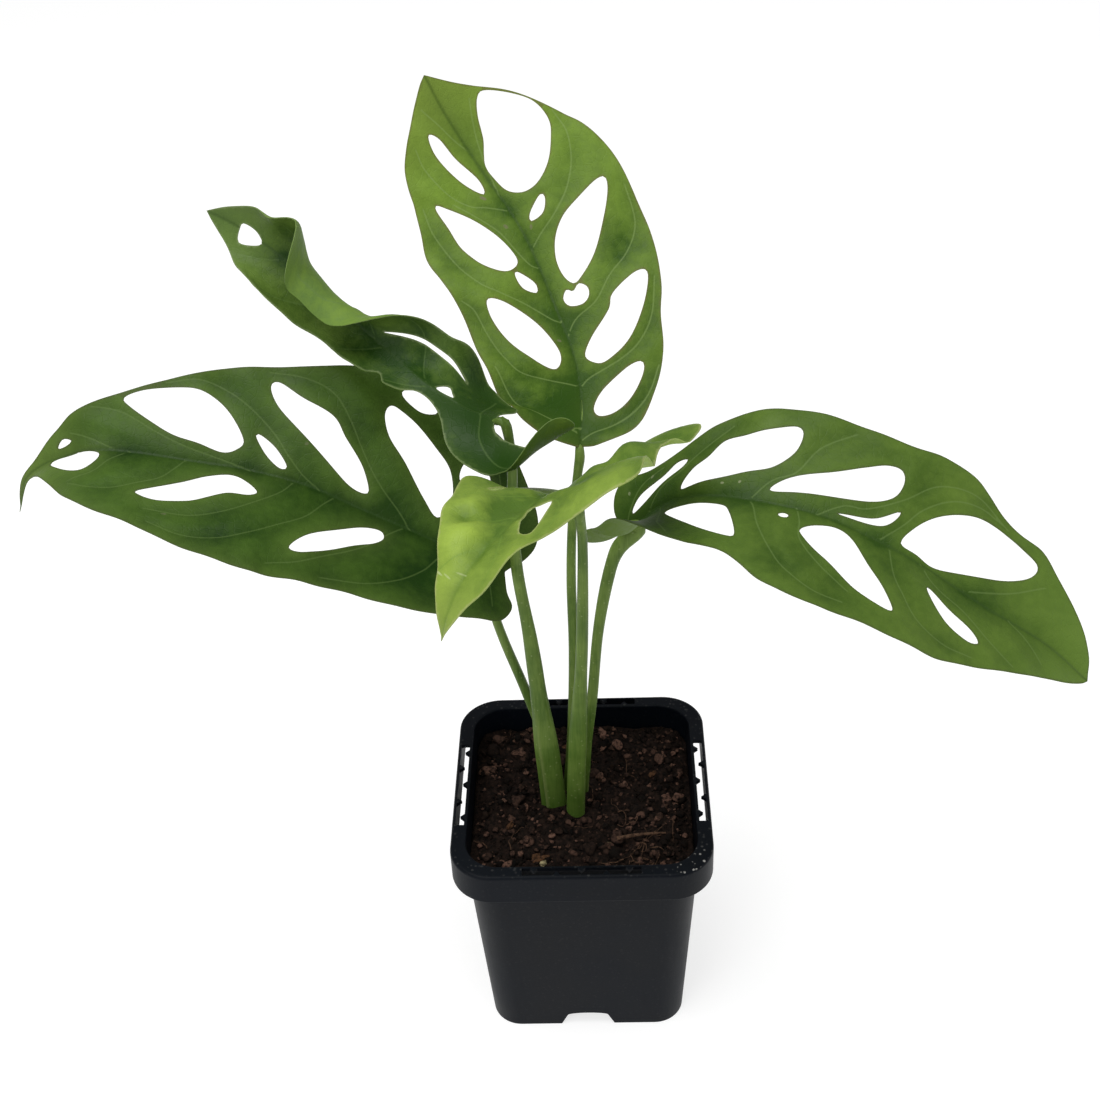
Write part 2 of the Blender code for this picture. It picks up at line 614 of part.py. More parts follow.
def slotOutline():
    """A rim slot on the right side, with two small teeth on each long edge."""
    half = slotLength / 2
    outline = [(slotInner, -half), (slotOuter, -half)]
    for middle in (-half / 2.4, half / 2.4):
        outline += [(slotOuter, middle - toothSize * 0.7), (slotOuter - toothSize, middle),
                    (slotOuter, middle + toothSize * 0.7)]
    outline += [(slotOuter, half), (slotInner, half)]
    for middle in (half / 1.25, 0.0, -half / 1.25):
        outline += [(slotInner, middle + toothSize * 0.7), (slotInner + toothSize * 0.8, middle),
                    (slotInner, middle - toothSize * 0.7)]
    return outline


def notchSection():
    """The arched opening at the foot of a side, as (across, height) points."""
    spring = notchHeight - notchEase
    arch = [(notchTopWidth / 2 * math.cos(angle), spring + notchEase * math.sin(angle))
            for angle in np.linspace(0, math.pi, 7)]
    return [(-notchWidth / 2, -1.0), (notchWidth / 2, -1.0), (notchWidth / 2, 0.0), *arch,
            (-notchWidth / 2, 0.0)]


def notchCutter(quarter):
    section = notchSection()
    inner, outer = footHalf - 4, footHalf + 4
    points = [(inner, across, z) for across, z in section] + [(outer, across, z) for across, z in section]
    return makeCutter("foot_notch_cutter", turned(points, quarter), prismFaces(len(section)))


def potProfile():
    """(half width, corner radius, height) from the middle of the pad under the pot round to the floor."""
    under = potHeight - rimPlate
    ceiling = floorHeight - floorThickness
    inside = under - mouthDepth
    return [
        (padRadius, padRadius, 0.0),
        (padRadius, padRadius, ceiling),
        (bodyHalf(ceiling) - wall, bodyCorner(ceiling) - wall, ceiling),
        (footHalf - wall, footCorner - wall, 0.0),
        (footHalf, footCorner, 0.0),
        (bodyHalf(under), bodyCorner(under), under),
        (rimHalf - wall, rimCorner - wall, under),
        (rimHalf - wall, rimCorner - wall, potHeight - skirtHeight),
        (rimHalf, rimCorner, potHeight - skirtHeight),
        (rimHalf, rimCorner, potHeight - rimEase),
        (rimHalf - rimEase * 0.3, rimCorner - rimEase * 0.3, potHeight - rimEase * 0.3),
        (rimHalf - rimEase, rimCorner - rimEase, potHeight),
        (openingHalf + mouthEase, openingCorner + mouthEase, potHeight),
        (openingHalf, openingCorner, potHeight - mouthEase),
        (bodyHalf(inside) - wall, bodyCorner(inside) - wall, inside),
        (bodyHalf(floorHeight) - wall, bodyCorner(floorHeight) - wall, floorHeight),
    ]


def drainOutline():
    """A round drain hole on the floor's diagonal."""
    centre = drainRing / math.sqrt(2)
    return [(centre + drainRadius * math.cos(angle), centre + drainRadius * math.sin(angle))
            for angle in np.arange(drainSides) * 2 * math.pi / drainSides]


def cutAway(thing, cutters):
    for cutter in cutters:
        modifier = thing.modifiers.new(cutter.name, "BOOLEAN")
        modifier.operation = "DIFFERENCE"
        modifier.solver = "EXACT"
        modifier.object = cutter


def makePot():
    """The pot: a lofted shell with four foot notches, four rim slots and four drain holes."""
    pot = loftShell("pot", potProfile(), cornerSteps, makeMaterial("pot", potBlack, 0.42))
    cutters = []
    for quarter in range(4):
        slot = turned(slotOutline(), quarter)
        drain = turned(drainOutline(), quarter)
        cutters += [
            notchCutter(quarter),
            uprightCutter("rim_slot_cutter", slot, potHeight - slotDepth, potHeight + 2),
            uprightCutter("drain_hole_cutter", drain, floorHeight - 5, floorHeight + 3),
        ]
    cutAway(pot, cutters)


def stalkHole(name):
    """The outline of a stalk's hole in the soil."""
    stalk = stalks[name]
    x, y = stalk["foot"]
    wide = stalk["width"][0][1] / 2 + gap + slack
    deep = stalk["depth"][0][1] / 2 + gap + slack
    return np.array([(x + wide * math.cos(angle), y + deep * math.sin(angle))
                     for angle in np.arange(stalkSides) * 2 * math.pi / stalkSides])


def soilHalf(z):
    return bodyHalf(z) - wall - gap - slack


def soilHeight(points):
    """Gentle mounds, a little higher round the stalks and lower along the pot's wall."""
    x, y = points[:, 0], points[:, 1]
    height = 0.5 * np.sin(x / 6.1 + 1.0) * np.cos(y / 5.3) + 0.35 * np.sin(x / 3.3 - y / 4.1 + 2.0)
    height += 1.1 * np.exp(-((x + 3) ** 2 + y ** 2) / 160)
    edge = np.maximum(np.abs(x), np.abs(y)) / soilHalf(soilTop)
    return soilTop + height - 1.4 * np.clip(edge - 0.8, 0, 1) * 5


def clodPoints(loops, half):
    """Points of small clods: a ring on the ground and three raised points inside it."""
    draw = random.Random(clodSeed)
    points, lifts, centres = [], [], []
    while len(centres) < clodCount:
        x, y = (draw.uniform(-half, half) for _ in range(2))
        radius = draw.uniform(*clodRadii)
        centre = np.array([[x, y]])
        if not (insideLoop(centre, loops[0])[0] and clearOf(centre, loops, radius + 0.9)[0]):
            continue
        if any(math.hypot(x - cx, y - cy) < radius + other + 0.3 for cx, cy, other in centres):
            continue
        centres.append((x, y, radius))
        start = draw.uniform(0, math.pi)
        for side in range(6):
            angle = start + side * math.pi / 3
            reach = radius * draw.uniform(0.85, 1.1)
            points.append((x + reach * math.cos(angle), y + reach * math.sin(angle)))
            lifts.append(0.0)
        for side in range(3):
            angle = start + side * math.pi * 2 / 3 + draw.uniform(-0.4, 0.4)
            points.append((x + radius * 0.45 * math.cos(angle), y + radius * 0.45 * math.sin(angle)))
            lifts.append(radius * draw.uniform(0.5, 0.95))
    return np.array(points), np.array(lifts), centres


def makeSoil():
    """Potting mix that fills the pot: a lumpy top, a hole for each stalk, and a plain block below."""
    draw = random.Random(clodSeed + 1)
    half = soilHalf(soilTop)
    square = squareLoop(half, bodyCorner(soilTop) - wall - gap, cornerSteps)
    outline = evenSteps(square, True, soilEdgeStep)
    holes = [stalkHole(name) for name in stalks]
    loops = [outline, *holes]
    clods, lifts, centres = clodPoints(loops, half)
    grid = hexGrid((-half, -half), (half, half), soilGrid)
    grid += np.array([[draw.uniform(-0.9, 0.9) for _ in range(2)] for _ in grid])
    keep = insideLoop(grid, outline) & clearOf(grid, loops, 1.6)
    for x, y, radius in centres:
        keep &= np.hypot(grid[:, 0] - x, grid[:, 1] - y) > radius + 1.0
    for hole in holes:
        keep &= ~insideLoop(grid, hole)
    flat, triangles = triangulate(outline, holes, np.vstack([grid[keep], clods]))
    heights = soilHeight(flat)
    for point, lift in zip(clods, lifts):
        heights[np.linalg.norm(flat - point, axis=1).argmin()] += lift
    points = [(x, y, z) for (x, y), z in zip(flat, heights)]
    faces = [tuple(map(int, face)) for face in triangles]
    following = dict(edgeOfSheet(triangles))
    while following:
        loop = [next(iter(following))]
        while following[loop[-1]] != loop[0]:
            loop.append(following[loop[-1]])
        for index in loop:
            del following[index]
        ring = flat[loop]
        outer = np.abs(ring).max() > half - 1
        base = floorHeight + gap if outer else soilHole
        shrink = (soilHalf(base) / half) if outer else 1.0
        first = len(points)
        points += [(x * shrink, y * shrink, base) for x, y in ring]
        count = len(loop)
        for side in range(count):
            after = (side + 1) % count
            faces.append((loop[after], loop[side], first + side, first + after))
        faces.append(tuple(range(first, first + count))[::-1])
    return makeObject("potting_soil", points, faces, makeMaterial("potting_soil", soilBrown, 0.95))


def main():
    clearScene()
    makePot()
    makeSoil()
    for name, leaf in leaves.items():
        makeBlade(name + "_leaf_blade", leaf)
        makeStalk(name)


main()
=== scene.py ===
import itertools
import math
import random

import bpy
import numpy as np
from mathutils import Matrix, Vector, geometry


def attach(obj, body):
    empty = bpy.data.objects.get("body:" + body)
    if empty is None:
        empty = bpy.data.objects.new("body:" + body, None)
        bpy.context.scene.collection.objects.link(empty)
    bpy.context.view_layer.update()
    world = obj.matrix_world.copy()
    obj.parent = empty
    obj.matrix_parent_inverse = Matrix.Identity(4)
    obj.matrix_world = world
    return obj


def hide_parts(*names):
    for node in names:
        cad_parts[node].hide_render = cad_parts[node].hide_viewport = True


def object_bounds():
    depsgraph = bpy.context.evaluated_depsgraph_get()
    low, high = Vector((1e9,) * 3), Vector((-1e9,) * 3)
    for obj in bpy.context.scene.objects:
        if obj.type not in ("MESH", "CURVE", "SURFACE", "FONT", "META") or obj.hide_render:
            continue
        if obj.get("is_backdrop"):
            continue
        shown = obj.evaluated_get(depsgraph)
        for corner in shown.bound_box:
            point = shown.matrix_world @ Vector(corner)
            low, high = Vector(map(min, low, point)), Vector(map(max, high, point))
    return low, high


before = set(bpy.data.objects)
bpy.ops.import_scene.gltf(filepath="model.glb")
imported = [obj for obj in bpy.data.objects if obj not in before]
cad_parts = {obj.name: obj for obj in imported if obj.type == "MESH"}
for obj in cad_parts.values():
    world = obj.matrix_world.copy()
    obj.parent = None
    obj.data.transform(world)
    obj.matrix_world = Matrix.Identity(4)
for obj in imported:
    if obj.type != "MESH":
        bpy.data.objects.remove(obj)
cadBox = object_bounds()
mm = 0.001

# The camera stands where the photograph was taken from: place in metres, angles in degrees.
view = {
    "place": (0.010709, -0.392796, 0.470768),
    "yaw": -2.5268,
    "pitch": 36.308,
    "roll": -2.8648,
    "lens": 53.1,
    "sensor": 36.0,
    "clipStart": 0.01,
}

# A pale floor and three round lamps, each aimed at a height above the middle of the floor.
studio = {
    "floorTones": (0.4, 0.408),
    "floorRoughness": 0.9,
    "floorGlow": 0.72,
    "floorSize": 9.0,
    "skyStrength": 0.42,
    "lights": {
        "overhead_softbox": {"place": (-0.25, -0.15, 1.35), "aim": 0.15, "size": 0.9, "power": 12.0},
        "front_softbox": {"place": (-0.75, -1.15, 0.85), "aim": 0.12, "size": 0.8, "power": 5.0},
        "side_softbox": {"place": (1.3, -0.2, 0.75), "aim": 0.15, "size": 0.8, "power": 2.5},
    },
}


def say(stage):
    print("scene: " + stage)


def linear(red, green, blue):
    # a colour given as screen values from 0 to 255
    shares = [value / 255 for value in (red, green, blue)]
    return (*[s / 12.92 if s <= 0.04045 else ((s + 0.055) / 1.055) ** 2.4 for s in shares], 1.0)


def unit(vectors):
    return vectors / np.linalg.norm(vectors, axis=-1, keepdims=True)


def plug(tree, value, socket):
    # a wire or a plain value goes into a socket
    if isinstance(value, Wire):
        tree.links.new(value.socket, socket)
    else:
        socket.default_value = value


class Wire:  # a socket of a shader node that can be used in sums
    def __init__(self, tree, socket=None):
        self.tree = tree
        self.socket = socket

    def node(self, kind, settings, sockets):
        # any node: its type, its settings, then what goes into its sockets
        made = self.tree.nodes.new(kind)
        for key, value in settings.items():
            setattr(made, key, value)
        for key, value in sockets.items():
            plug(self.tree, value, made.inputs[key])
        return Wire(self.tree, next(out for out in made.outputs if out.enabled))

    def out(self, name):
        # another output of the same node
        return Wire(self.tree, self.socket.node.outputs[name])

    def sum(self, operation, first, second=0.0):
        return self.node("ShaderNodeMath", {"operation": operation}, {0: first, 1: second})

    def __add__(self, other):
        return self.sum("ADD", self, other)

    def __radd__(self, other):
        return self.sum("ADD", other, self)

    def __sub__(self, other):
        return self.sum("SUBTRACT", self, other)

    def __rsub__(self, other):
        return self.sum("SUBTRACT", other, self)

    def __mul__(self, other):
        return self.sum("MULTIPLY", self, other)

    def clamped(self):
        return self.node("ShaderNodeClamp", {}, {"Value": self})

    def step(self, low, high, start=0.0, end=1.0):
        # a smooth step from start to end as the value passes from low to high
        return self.node("ShaderNodeMapRange", {"interpolation_type": "SMOOTHSTEP"},
                         {"Value": self, "From Min": low, "From Max": high, "To Min": start, "To Max": end})

    def mix(self, first, second):
        # from the first colour to the second as this value goes from 0 to 1
        made = self.node("ShaderNodeMix", {"data_type": "RGBA", "clamp_factor": True},
                         {0: self, 6: first, 7: second})
        return Wire(self.tree, made.socket.node.outputs[2])

    def scaled(self, x, y, z):
        return self.node("ShaderNodeVectorMath", {"operation": "MULTIPLY"}, {0: self, 1: (x, y, z)})

    def noise(self, scale, detail=3.0, roughness=0.5, distortion=0.0):
        # this vector is where the noise is read
        return self.node("ShaderNodeTexNoise", {}, {"Vector": self, "Scale": scale, "Detail": detail,
                                                    "Roughness": roughness, "Distortion": distortion})

    def cells(self, scale, feature="F1"):
        return self.node("ShaderNodeTexVoronoi", {"feature": feature}, {"Vector": self, "Scale": scale})

    def parts(self):
        split = self.node("ShaderNodeSeparateXYZ", {}, {0: self})
        return split.out("X"), split.out("Y"), split.out("Z")

    def stored(self, name):
        # a value that addValues gave the mesh
        return self.node("ShaderNodeAttribute", {"attribute_name": name}, {}).out("Vector")

    def place(self):
        return self.node("ShaderNodeTexCoord", {}, {}).out("Object")

    def facingUp(self):
        return self.node("ShaderNodeNewGeometry", {}, {}).out("Normal").parts()[2]


def newMaterial(name):
    material = bpy.data.materials.new(name)
    material.use_nodes = True
    return material, Wire(material.node_tree)


def finish(material, colour, roughness, height=None, depth=0.0001, strength=1.0, **fixed):
    # joins colour, roughness and relief to the material's shader
    tree = material.node_tree
    shader = tree.nodes["Principled BSDF"]
    if height is not None:
        relief = {"Height": height, "Distance": depth, "Strength": strength}
        fixed["Normal"] = height.node("ShaderNodeBump", {}, relief)
    for name, value in {"Base Color": colour, "Roughness": roughness, **fixed}.items():
        plug(tree, value, shader.inputs[name])
    return material


def makeMesh(name, points, faces, materials, smooth=50):
    # points in millimetres
    mesh = bpy.data.meshes.new(name)
    mesh.from_pydata((np.asarray(points) * mm).tolist(), [], faces)
    for material in materials:
        mesh.materials.append(material)
    mesh.update()
    mesh.shade_smooth()
    mesh.set_sharp_from_angle(angle=math.radians(smooth))
    thing = bpy.data.objects.new(name, mesh)
    bpy.context.scene.collection.objects.link(thing)
    return thing


def addValues(thing, name, values):
    # one vector for each point of the mesh
    stored = thing.data.attributes.new(name, "FLOAT_VECTOR", "POINT")
    stored.data.foreach_set("vector", np.asarray(values, np.float32).ravel())


def settle(thing, slot, *nodes):
    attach(thing, "root")
    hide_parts(*nodes)
    thing.data.calc_loop_triangles()
    say("%s, %d triangles" % (thing.name, len(thing.data.loop_triangles)))


def setCamera():
    yaw, pitch, roll = (math.radians(view[key]) for key in ("yaw", "pitch", "roll"))
    ahead = Vector((math.sin(yaw) * math.cos(pitch), math.cos(yaw) * math.cos(pitch), -math.sin(pitch)))
    level = Vector((math.cos(yaw), -math.sin(yaw), 0))
    above = level.cross(ahead)
    right = level * math.cos(roll) + above * math.sin(roll)
    up = above * math.cos(roll) - level * math.sin(roll)
    data = bpy.data.cameras.new("photo_camera")
    data.sensor_width = view["sensor"]
    data.lens = view["lens"]
    data.clip_start = view["clipStart"]
    camera = bpy.data.objects.new("photo_camera", data)
    bpy.context.scene.collection.objects.link(camera)
    turn = Matrix((right, up, -ahead)).transposed().to_4x4()
    camera.matrix_world = Matrix.Translation(view["place"]) @ turn
    bpy.context.scene.camera = camera


def setStudio():
    bpy.context.scene.view_settings.view_transform = "Standard"
    world = bpy.data.worlds.new("studio")
    bpy.context.scene.world = world
    world.use_nodes = True
    sky = world.node_tree.nodes["Background"]
    sky.inputs["Color"].default_value = (1, 1, 1, 1)
    sky.inputs["Strength"].default_value = studio["skyStrength"]
    for name, lamp in studio["lights"].items():
        data = bpy.data.lights.new(name, "AREA")
        data.shape = "DISK"
        data.size = lamp["size"]
        data.energy = lamp["power"]
        light = bpy.data.objects.new(name, data)
        bpy.context.scene.collection.objects.link(light)
        light.location = lamp["place"]
        aim = Vector((0, 0, lamp["aim"])) - Vector(lamp["place"])
        light.rotation_euler = aim.to_track_quat("-Z", "Y").to_euler()
    half = studio["floorSize"] / 2 / mm
    material, paint = newMaterial("pale_floor")
    tone = paint.place().noise(3.0, 2.0).step(0.3, 0.7)
    colour = tone.mix(*((value, value, value, 1) for value in studio["floorTones"]))
    finish(material, colour, studio["floorRoughness"],
           **{"Emission Color": (1, 1, 1, 1), "Emission Strength": studio["floorGlow"]})
    corners = [(-half, -half, 0), (half, -half, 0), (half, half, 0), (-half, half, 0)]
    floor = makeMesh("studio_floor", corners, [(0, 1, 2, 3)], [material])
    floor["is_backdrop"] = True


setCamera()
setStudio()
say("camera and studio")


# Each leaf is drawn flat and then bent, as its solid is. "spine" is the midrib in space, and its
# second point is where the stalk joins. "facing" is about the way that the upper face looks, and
# "roll" turns it round the midrib. A half leaves the midrib at its "fold", in degrees, and bends
# by its "curl", in degrees per 10 mm; either is one number or (distance, value) along the midrib.
# Margins, holes and side veins are (distance along the midrib, distance to its left seen from
# the stalk), in millimetres. Greens are screen values. "balance" is the share of light green and
# "toTip" what it gains towards the tip. "swell" is the height of the cushions between side veins
# and "wave" that of the margin's ripple, in millimetres; "gloss" is the roughness of the upper
# face. "swells" and "dents" are domes and hollows (along, across, height, reach); the dents are
# also painted into the green, as painted shade in the hollows and painted light on the domes.
# "marks" are small scars (along, across, half length, half width, turn, strength).
crownLeaf = {
    "spine": [(3, 13, 182), (3, 24, 203), (4, 35, 211), (1, 49, 223), (-6, 64, 236), (-14, 78, 250),
              (-26, 91, 264), (-37, 99, 280), (-43, 102, 292)],
    "facing": (0.12, -0.8, 0.6),
    "roll": 0,
    "foldLeft": 10,
    "foldRight": 10,
    "curlLeft": -2,
    "curlRight": -2,
    "left": [(0, 1.5), (2, 10), (3.5, 15), (6, 20.5), (11, 24), (22, 26.5), (40, 28.5), (54, 28.5),
             (68, 30.5), (76, 31.5), (83, 31), (91, 28), (99, 25), (105, 23.5), (111, 21), (116, 17),
             (121, 12), (126, 7), (130, 3)],
    "right": [(130, -2.5), (127, -6), (122, -12), (116, -19), (111, -23.5), (105, -27.5), (98, -31.5),
              (90, -35), (80, -37), (68, -36.5), (59, -36.5), (50, -35.5), (41, -33), (34, -29.5),
              (26, -27.5), (18, -24), (10, -18.5), (4, -11.5), (0.5, -5), (0, -1.5)],
    "holes": [
        [(88, -3), (94, -1.8), (98.5, -1.8), (102, -3.6), (106, -6), (113, -8.5), (118, -11.5),
         (118.5, -14.5), (113, -21), (107, -25.5), (100, -26.5), (94, -24), (88, -19), (84.5, -12.5),
         (84.5, -7)],
        [(91, 4), (97, 7.5), (104, 9.5), (111, 10), (116, 8.5), (113, 6), (105, 5), (96, 2.5)],
        [(63, 9), (64.5, 13), (70, 17.5), (78, 20), (87, 20), (95.5, 19.5), (93, 16.5), (84, 11), (75, 7.5),
         (66, 5.5)],
        [(53.5, 4), (56, 7.5), (60, 8.5), (62, 7.5), (58, 4), (55.5, 3)],
        [(26.5, 6.5), (29, 11), (35, 15.5), (43, 19), (51, 20.5), (56, 19.5), (54, 15), (48, 10), (40, 6),
         (31, 4)],
        [(75.5, -4), (78, -5), (81, -10.5), (79.5, -11.5), (76, -8.5)],
        [(52, -8), (56, -6), (62, -6), (68, -8.5), (72.5, -13.5), (75, -21), (76.5, -29), (74.5, -30.5),
         (66, -23.5), (58, -17), (53, -11)],
        [(44.5, -8), (45.5, -4.2), (48.5, -3.2), (51, -5.2), (49.6, -7), (51.3, -9.5), (49, -11.6),
         (46, -10.8)],
        [(26, -7), (29, -3.5), (34, -7), (40, -15), (44, -18), (47.5, -27), (46, -30.5), (39, -26.5),
         (31, -18.5), (27, -11.5)],
        [(10.5, -5), (13, -3.5), (18, -7), (23, -15), (24, -20), (21, -20), (15, -15.5), (11.5, -10)],
    ],
    "veins": [
        [(6, 0), (5.5, 2.5), (3, 6), (1, 9)],
        [(4, 0), (5, 3), (9, 16), (12, 19), (19, 22.5), (31, 25)],
        [(20, 0), (21, 3), (23.5, 10.5), (27.5, 18), (35, 21.5), (45, 23.5), (54, 24.5), (58, 27)],
        [(42, 0), (43.5, 2.5), (51.5, 9), (57.5, 15.5), (62.5, 20), (72.5, 24), (87.5, 25), (97, 23)],
        [(61, 0), (63, 2.5), (70, 5), (78, 7), (86, 10.5), (93, 14)],
        [(82, 0), (87, 6), (90, 10), (97.5, 14), (107.5, 15.5), (114, 14.5)],
        [(105, 0), (110, 2), (117.5, 4), (123, 6)],
        [(1.5, 0), (5, -4), (8, -9.5), (14, -19.5), (22, -25)],
        [(19.5, 0), (22, -3), (24, -8.5), (26, -14.5), (29, -20.5), (35, -27), (44, -32)],
        [(36.5, 0), (39.5, -2.5), (41.5, -5.5), (44, -12.5), (50, -19.5), (55, -27), (62.5, -33), (72, -35)],
        [(67.5, 0), (71, -5), (74.5, -12), (79, -19.5), (85, -25.5), (92.5, -29), (101, -29)],
        [(88, 0), (96, -1.5), (105, -3.5), (112, -6), (119, -9)],
    ],
    "greens": {"light": (108, 136, 48), "dark": (38, 68, 10), "tip": (116, 136, 56), "rib": (38, 62, 18),
               "vein": (118, 140, 78), "edge": (92, 84, 50), "under": (122, 142, 84), "mark": (112, 104, 86)},
    "balance": 0.56, "swell": 1.0, "wave": 0.4, "gloss": 0.46, "veinShow": 0.45, "toTip": 0.7,
    "dents": [(10, 8, -1.0, 9), (14, -9, -0.8, 8), (56, 18, 0.8, 8), (60, -26, -0.8, 8), (92, -30, 0.7, 7),
              (100, 16, 0.8, 6), (30, 24, 0.9, 8)],
    "marks": [(90, 5, 1.4, 0.6, 0.6, 0.7), (78, 4, 1.1, 0.7, 0.3, 0.6), (74, -3, 1.0, 0.5, -0.5, 0.6),
              (36, 3, 0.9, 0.5, 1.0, 0.5)],
}

rightLeaf = {
    "spine": [(-8, 14, 170), (16, 8, 184), (32, 0, 200), (49, -7, 204), (71, -15, 203), (94, -24, 195),
              (118, -32, 181), (134, -37, 172), (146, -42, 162)],
    "facing": (0.1, -0.35, 0.92),
    "roll": 0,
    "foldLeft": [(0, 30), (25, 18), (60, 12), (157, 8)],
    "foldRight": [(-12, 22), (5, 20), (30, 12), (157, 12)],
    "curlLeft": [(0, -14), (20, -10), (50, 0), (157, 0)],
    "curlRight": [(-12, 48), (10, 36), (35, 0), (157, 0)],
    "left": [(-1.5, 2), (-2, 6), (0, 11), (5, 14), (15, 13.5), (22, 15), (27, 18.5), (32, 23.5), (38, 27.5),
             (46, 29.5), (58, 31), (70, 31), (82, 31.5), (91, 33), (100, 33), (107, 30.5), (114, 27),
             (120, 25.5), (129, 25), (136, 20), (144, 13), (150, 8.5), (154, 5)],
    "right": [(155, -3), (149, -8.5), (139, -14.5), (128, -20.5), (117, -26), (109, -29.5), (98, -31.5),
              (86, -32.5), (78, -34), (72, -35), (64, -34), (57, -32), (50, -27), (43, -23.5), (32, -21.5),
              (20, -20.5), (8, -20), (-3, -18.5), (-8.5, -16), (-8.5, -12), (-4, -7), (-1.5, -2.5)],
    "holes": [
        [(4.5, 2.5), (6, 5), (10, 7.5), (18, 9), (23, 12), (26, 12), (24, 9.5), (18, 7), (10, 4)],
        [(24.5, 2.5), (27.5, 8), (31.5, 12), (35, 18), (41, 20.5), (48, 23), (54, 25), (56, 22.5),
         (55, 16.5), (50, 11), (42, 8), (33, 4.5)],
        [(51, 4), (55, 8.5), (65, 13.5), (73, 19), (78, 22.5), (82, 23), (84, 19.5), (83, 14), (77, 9.5),
         (67, 6.5), (58, 4.5)],
        [(71, 2.5), (78, 4.5), (82, 6.5), (86.5, 11), (86, 7.5), (83.5, 4.5), (78, 3)],
        [(90.5, 2.5), (92, 8.5), (96, 15), (102, 20), (109, 23), (118, 22.5), (129, 20.5), (129, 15.5),
         (121, 9.5), (110, 4.5), (102, 1.3), (96, 2)],
        [(55.5, -3.5), (57, -2.8), (58.5, -3.5), (58, -4.8), (56, -4.8)],
        [(63, -8), (66, -5), (72, -3), (78, -4.5), (85, -11), (91, -16.5), (95, -22.5), (89, -23),
         (80, -19.5), (71, -15.5), (65, -11)],
        [(102, -7), (110, -9), (118, -11.5), (121, -14.5), (118, -16.5), (111, -15), (104.5, -11)],
        [(21, -5.5), (26, -3.5), (38, -3.5), (42, -7), (46, -16), (44, -17.5), (36, -15), (27, -10.5)],
    ],
    "veins": [
        [(1, 0), (4, 4), (10, 10), (18, 12)],
        [(10, 0), (17, 5.5), (24, 8.5), (30, 15), (36, 23)],
        [(46, 0), (51, 7), (57, 11), (61, 20), (68, 28)],
        [(66, 0), (72, 5.5), (78, 7.5), (86, 15), (93, 24), (104, 28), (116, 24.5)],
        [(84.5, 0), (89, 8), (92, 15), (98, 22), (106, 25.5), (114, 25)],
        [(112, 0), (120, 4.5), (127, 9), (134, 15)],
        [(4, 0), (6, -8), (4, -16)],
        [(16, 0), (19, -5), (22, -12), (27, -18)],
        [(46, 0), (48, -3), (51, -10), (57, -19), (63, -25), (73, -29), (82, -28)],
        [(60, 0), (62, -5), (64, -12), (72, -19), (82, -23)],
        [(88, 0), (92, -9), (96, -14), (102, -20), (111, -22.5), (120, -21)],
        [(98, 0), (104, -4.5), (114, -6.5), (124, -11.5), (132, -16)],
        [(128, 0), (134, -3), (141, -8)],
    ],
    "greens": {"light": (89, 113, 42), "dark": (38, 64, 14), "tip": (92, 118, 46), "rib": (44, 66, 24),
               "vein": (104, 126, 70), "edge": (66, 74, 38), "under": (100, 118, 76),
               "mark": (140, 146, 112)},
    "balance": 0.58, "swell": 1.0, "wave": 0.45, "gloss": 0.44, "veinShow": 0.38, "toTip": 0.4,
    "dents": [(12, 12, -0.8, 7), (50, 22, 0.7, 8), (30, -10, -0.9, 9), (98, 24, 0.8, 7), (80, -26, -0.6, 8)],
    "marks": [(37, 4, 0.6, 0.4, 0.2, 0.7), (42, 5, 0.6, 0.4, 0.9, 0.7), (14, 11, 0.8, 0.5, 0.4, 0.5),
              (5, 9, 0.7, 0.5, 1.2, 0.5)],
}

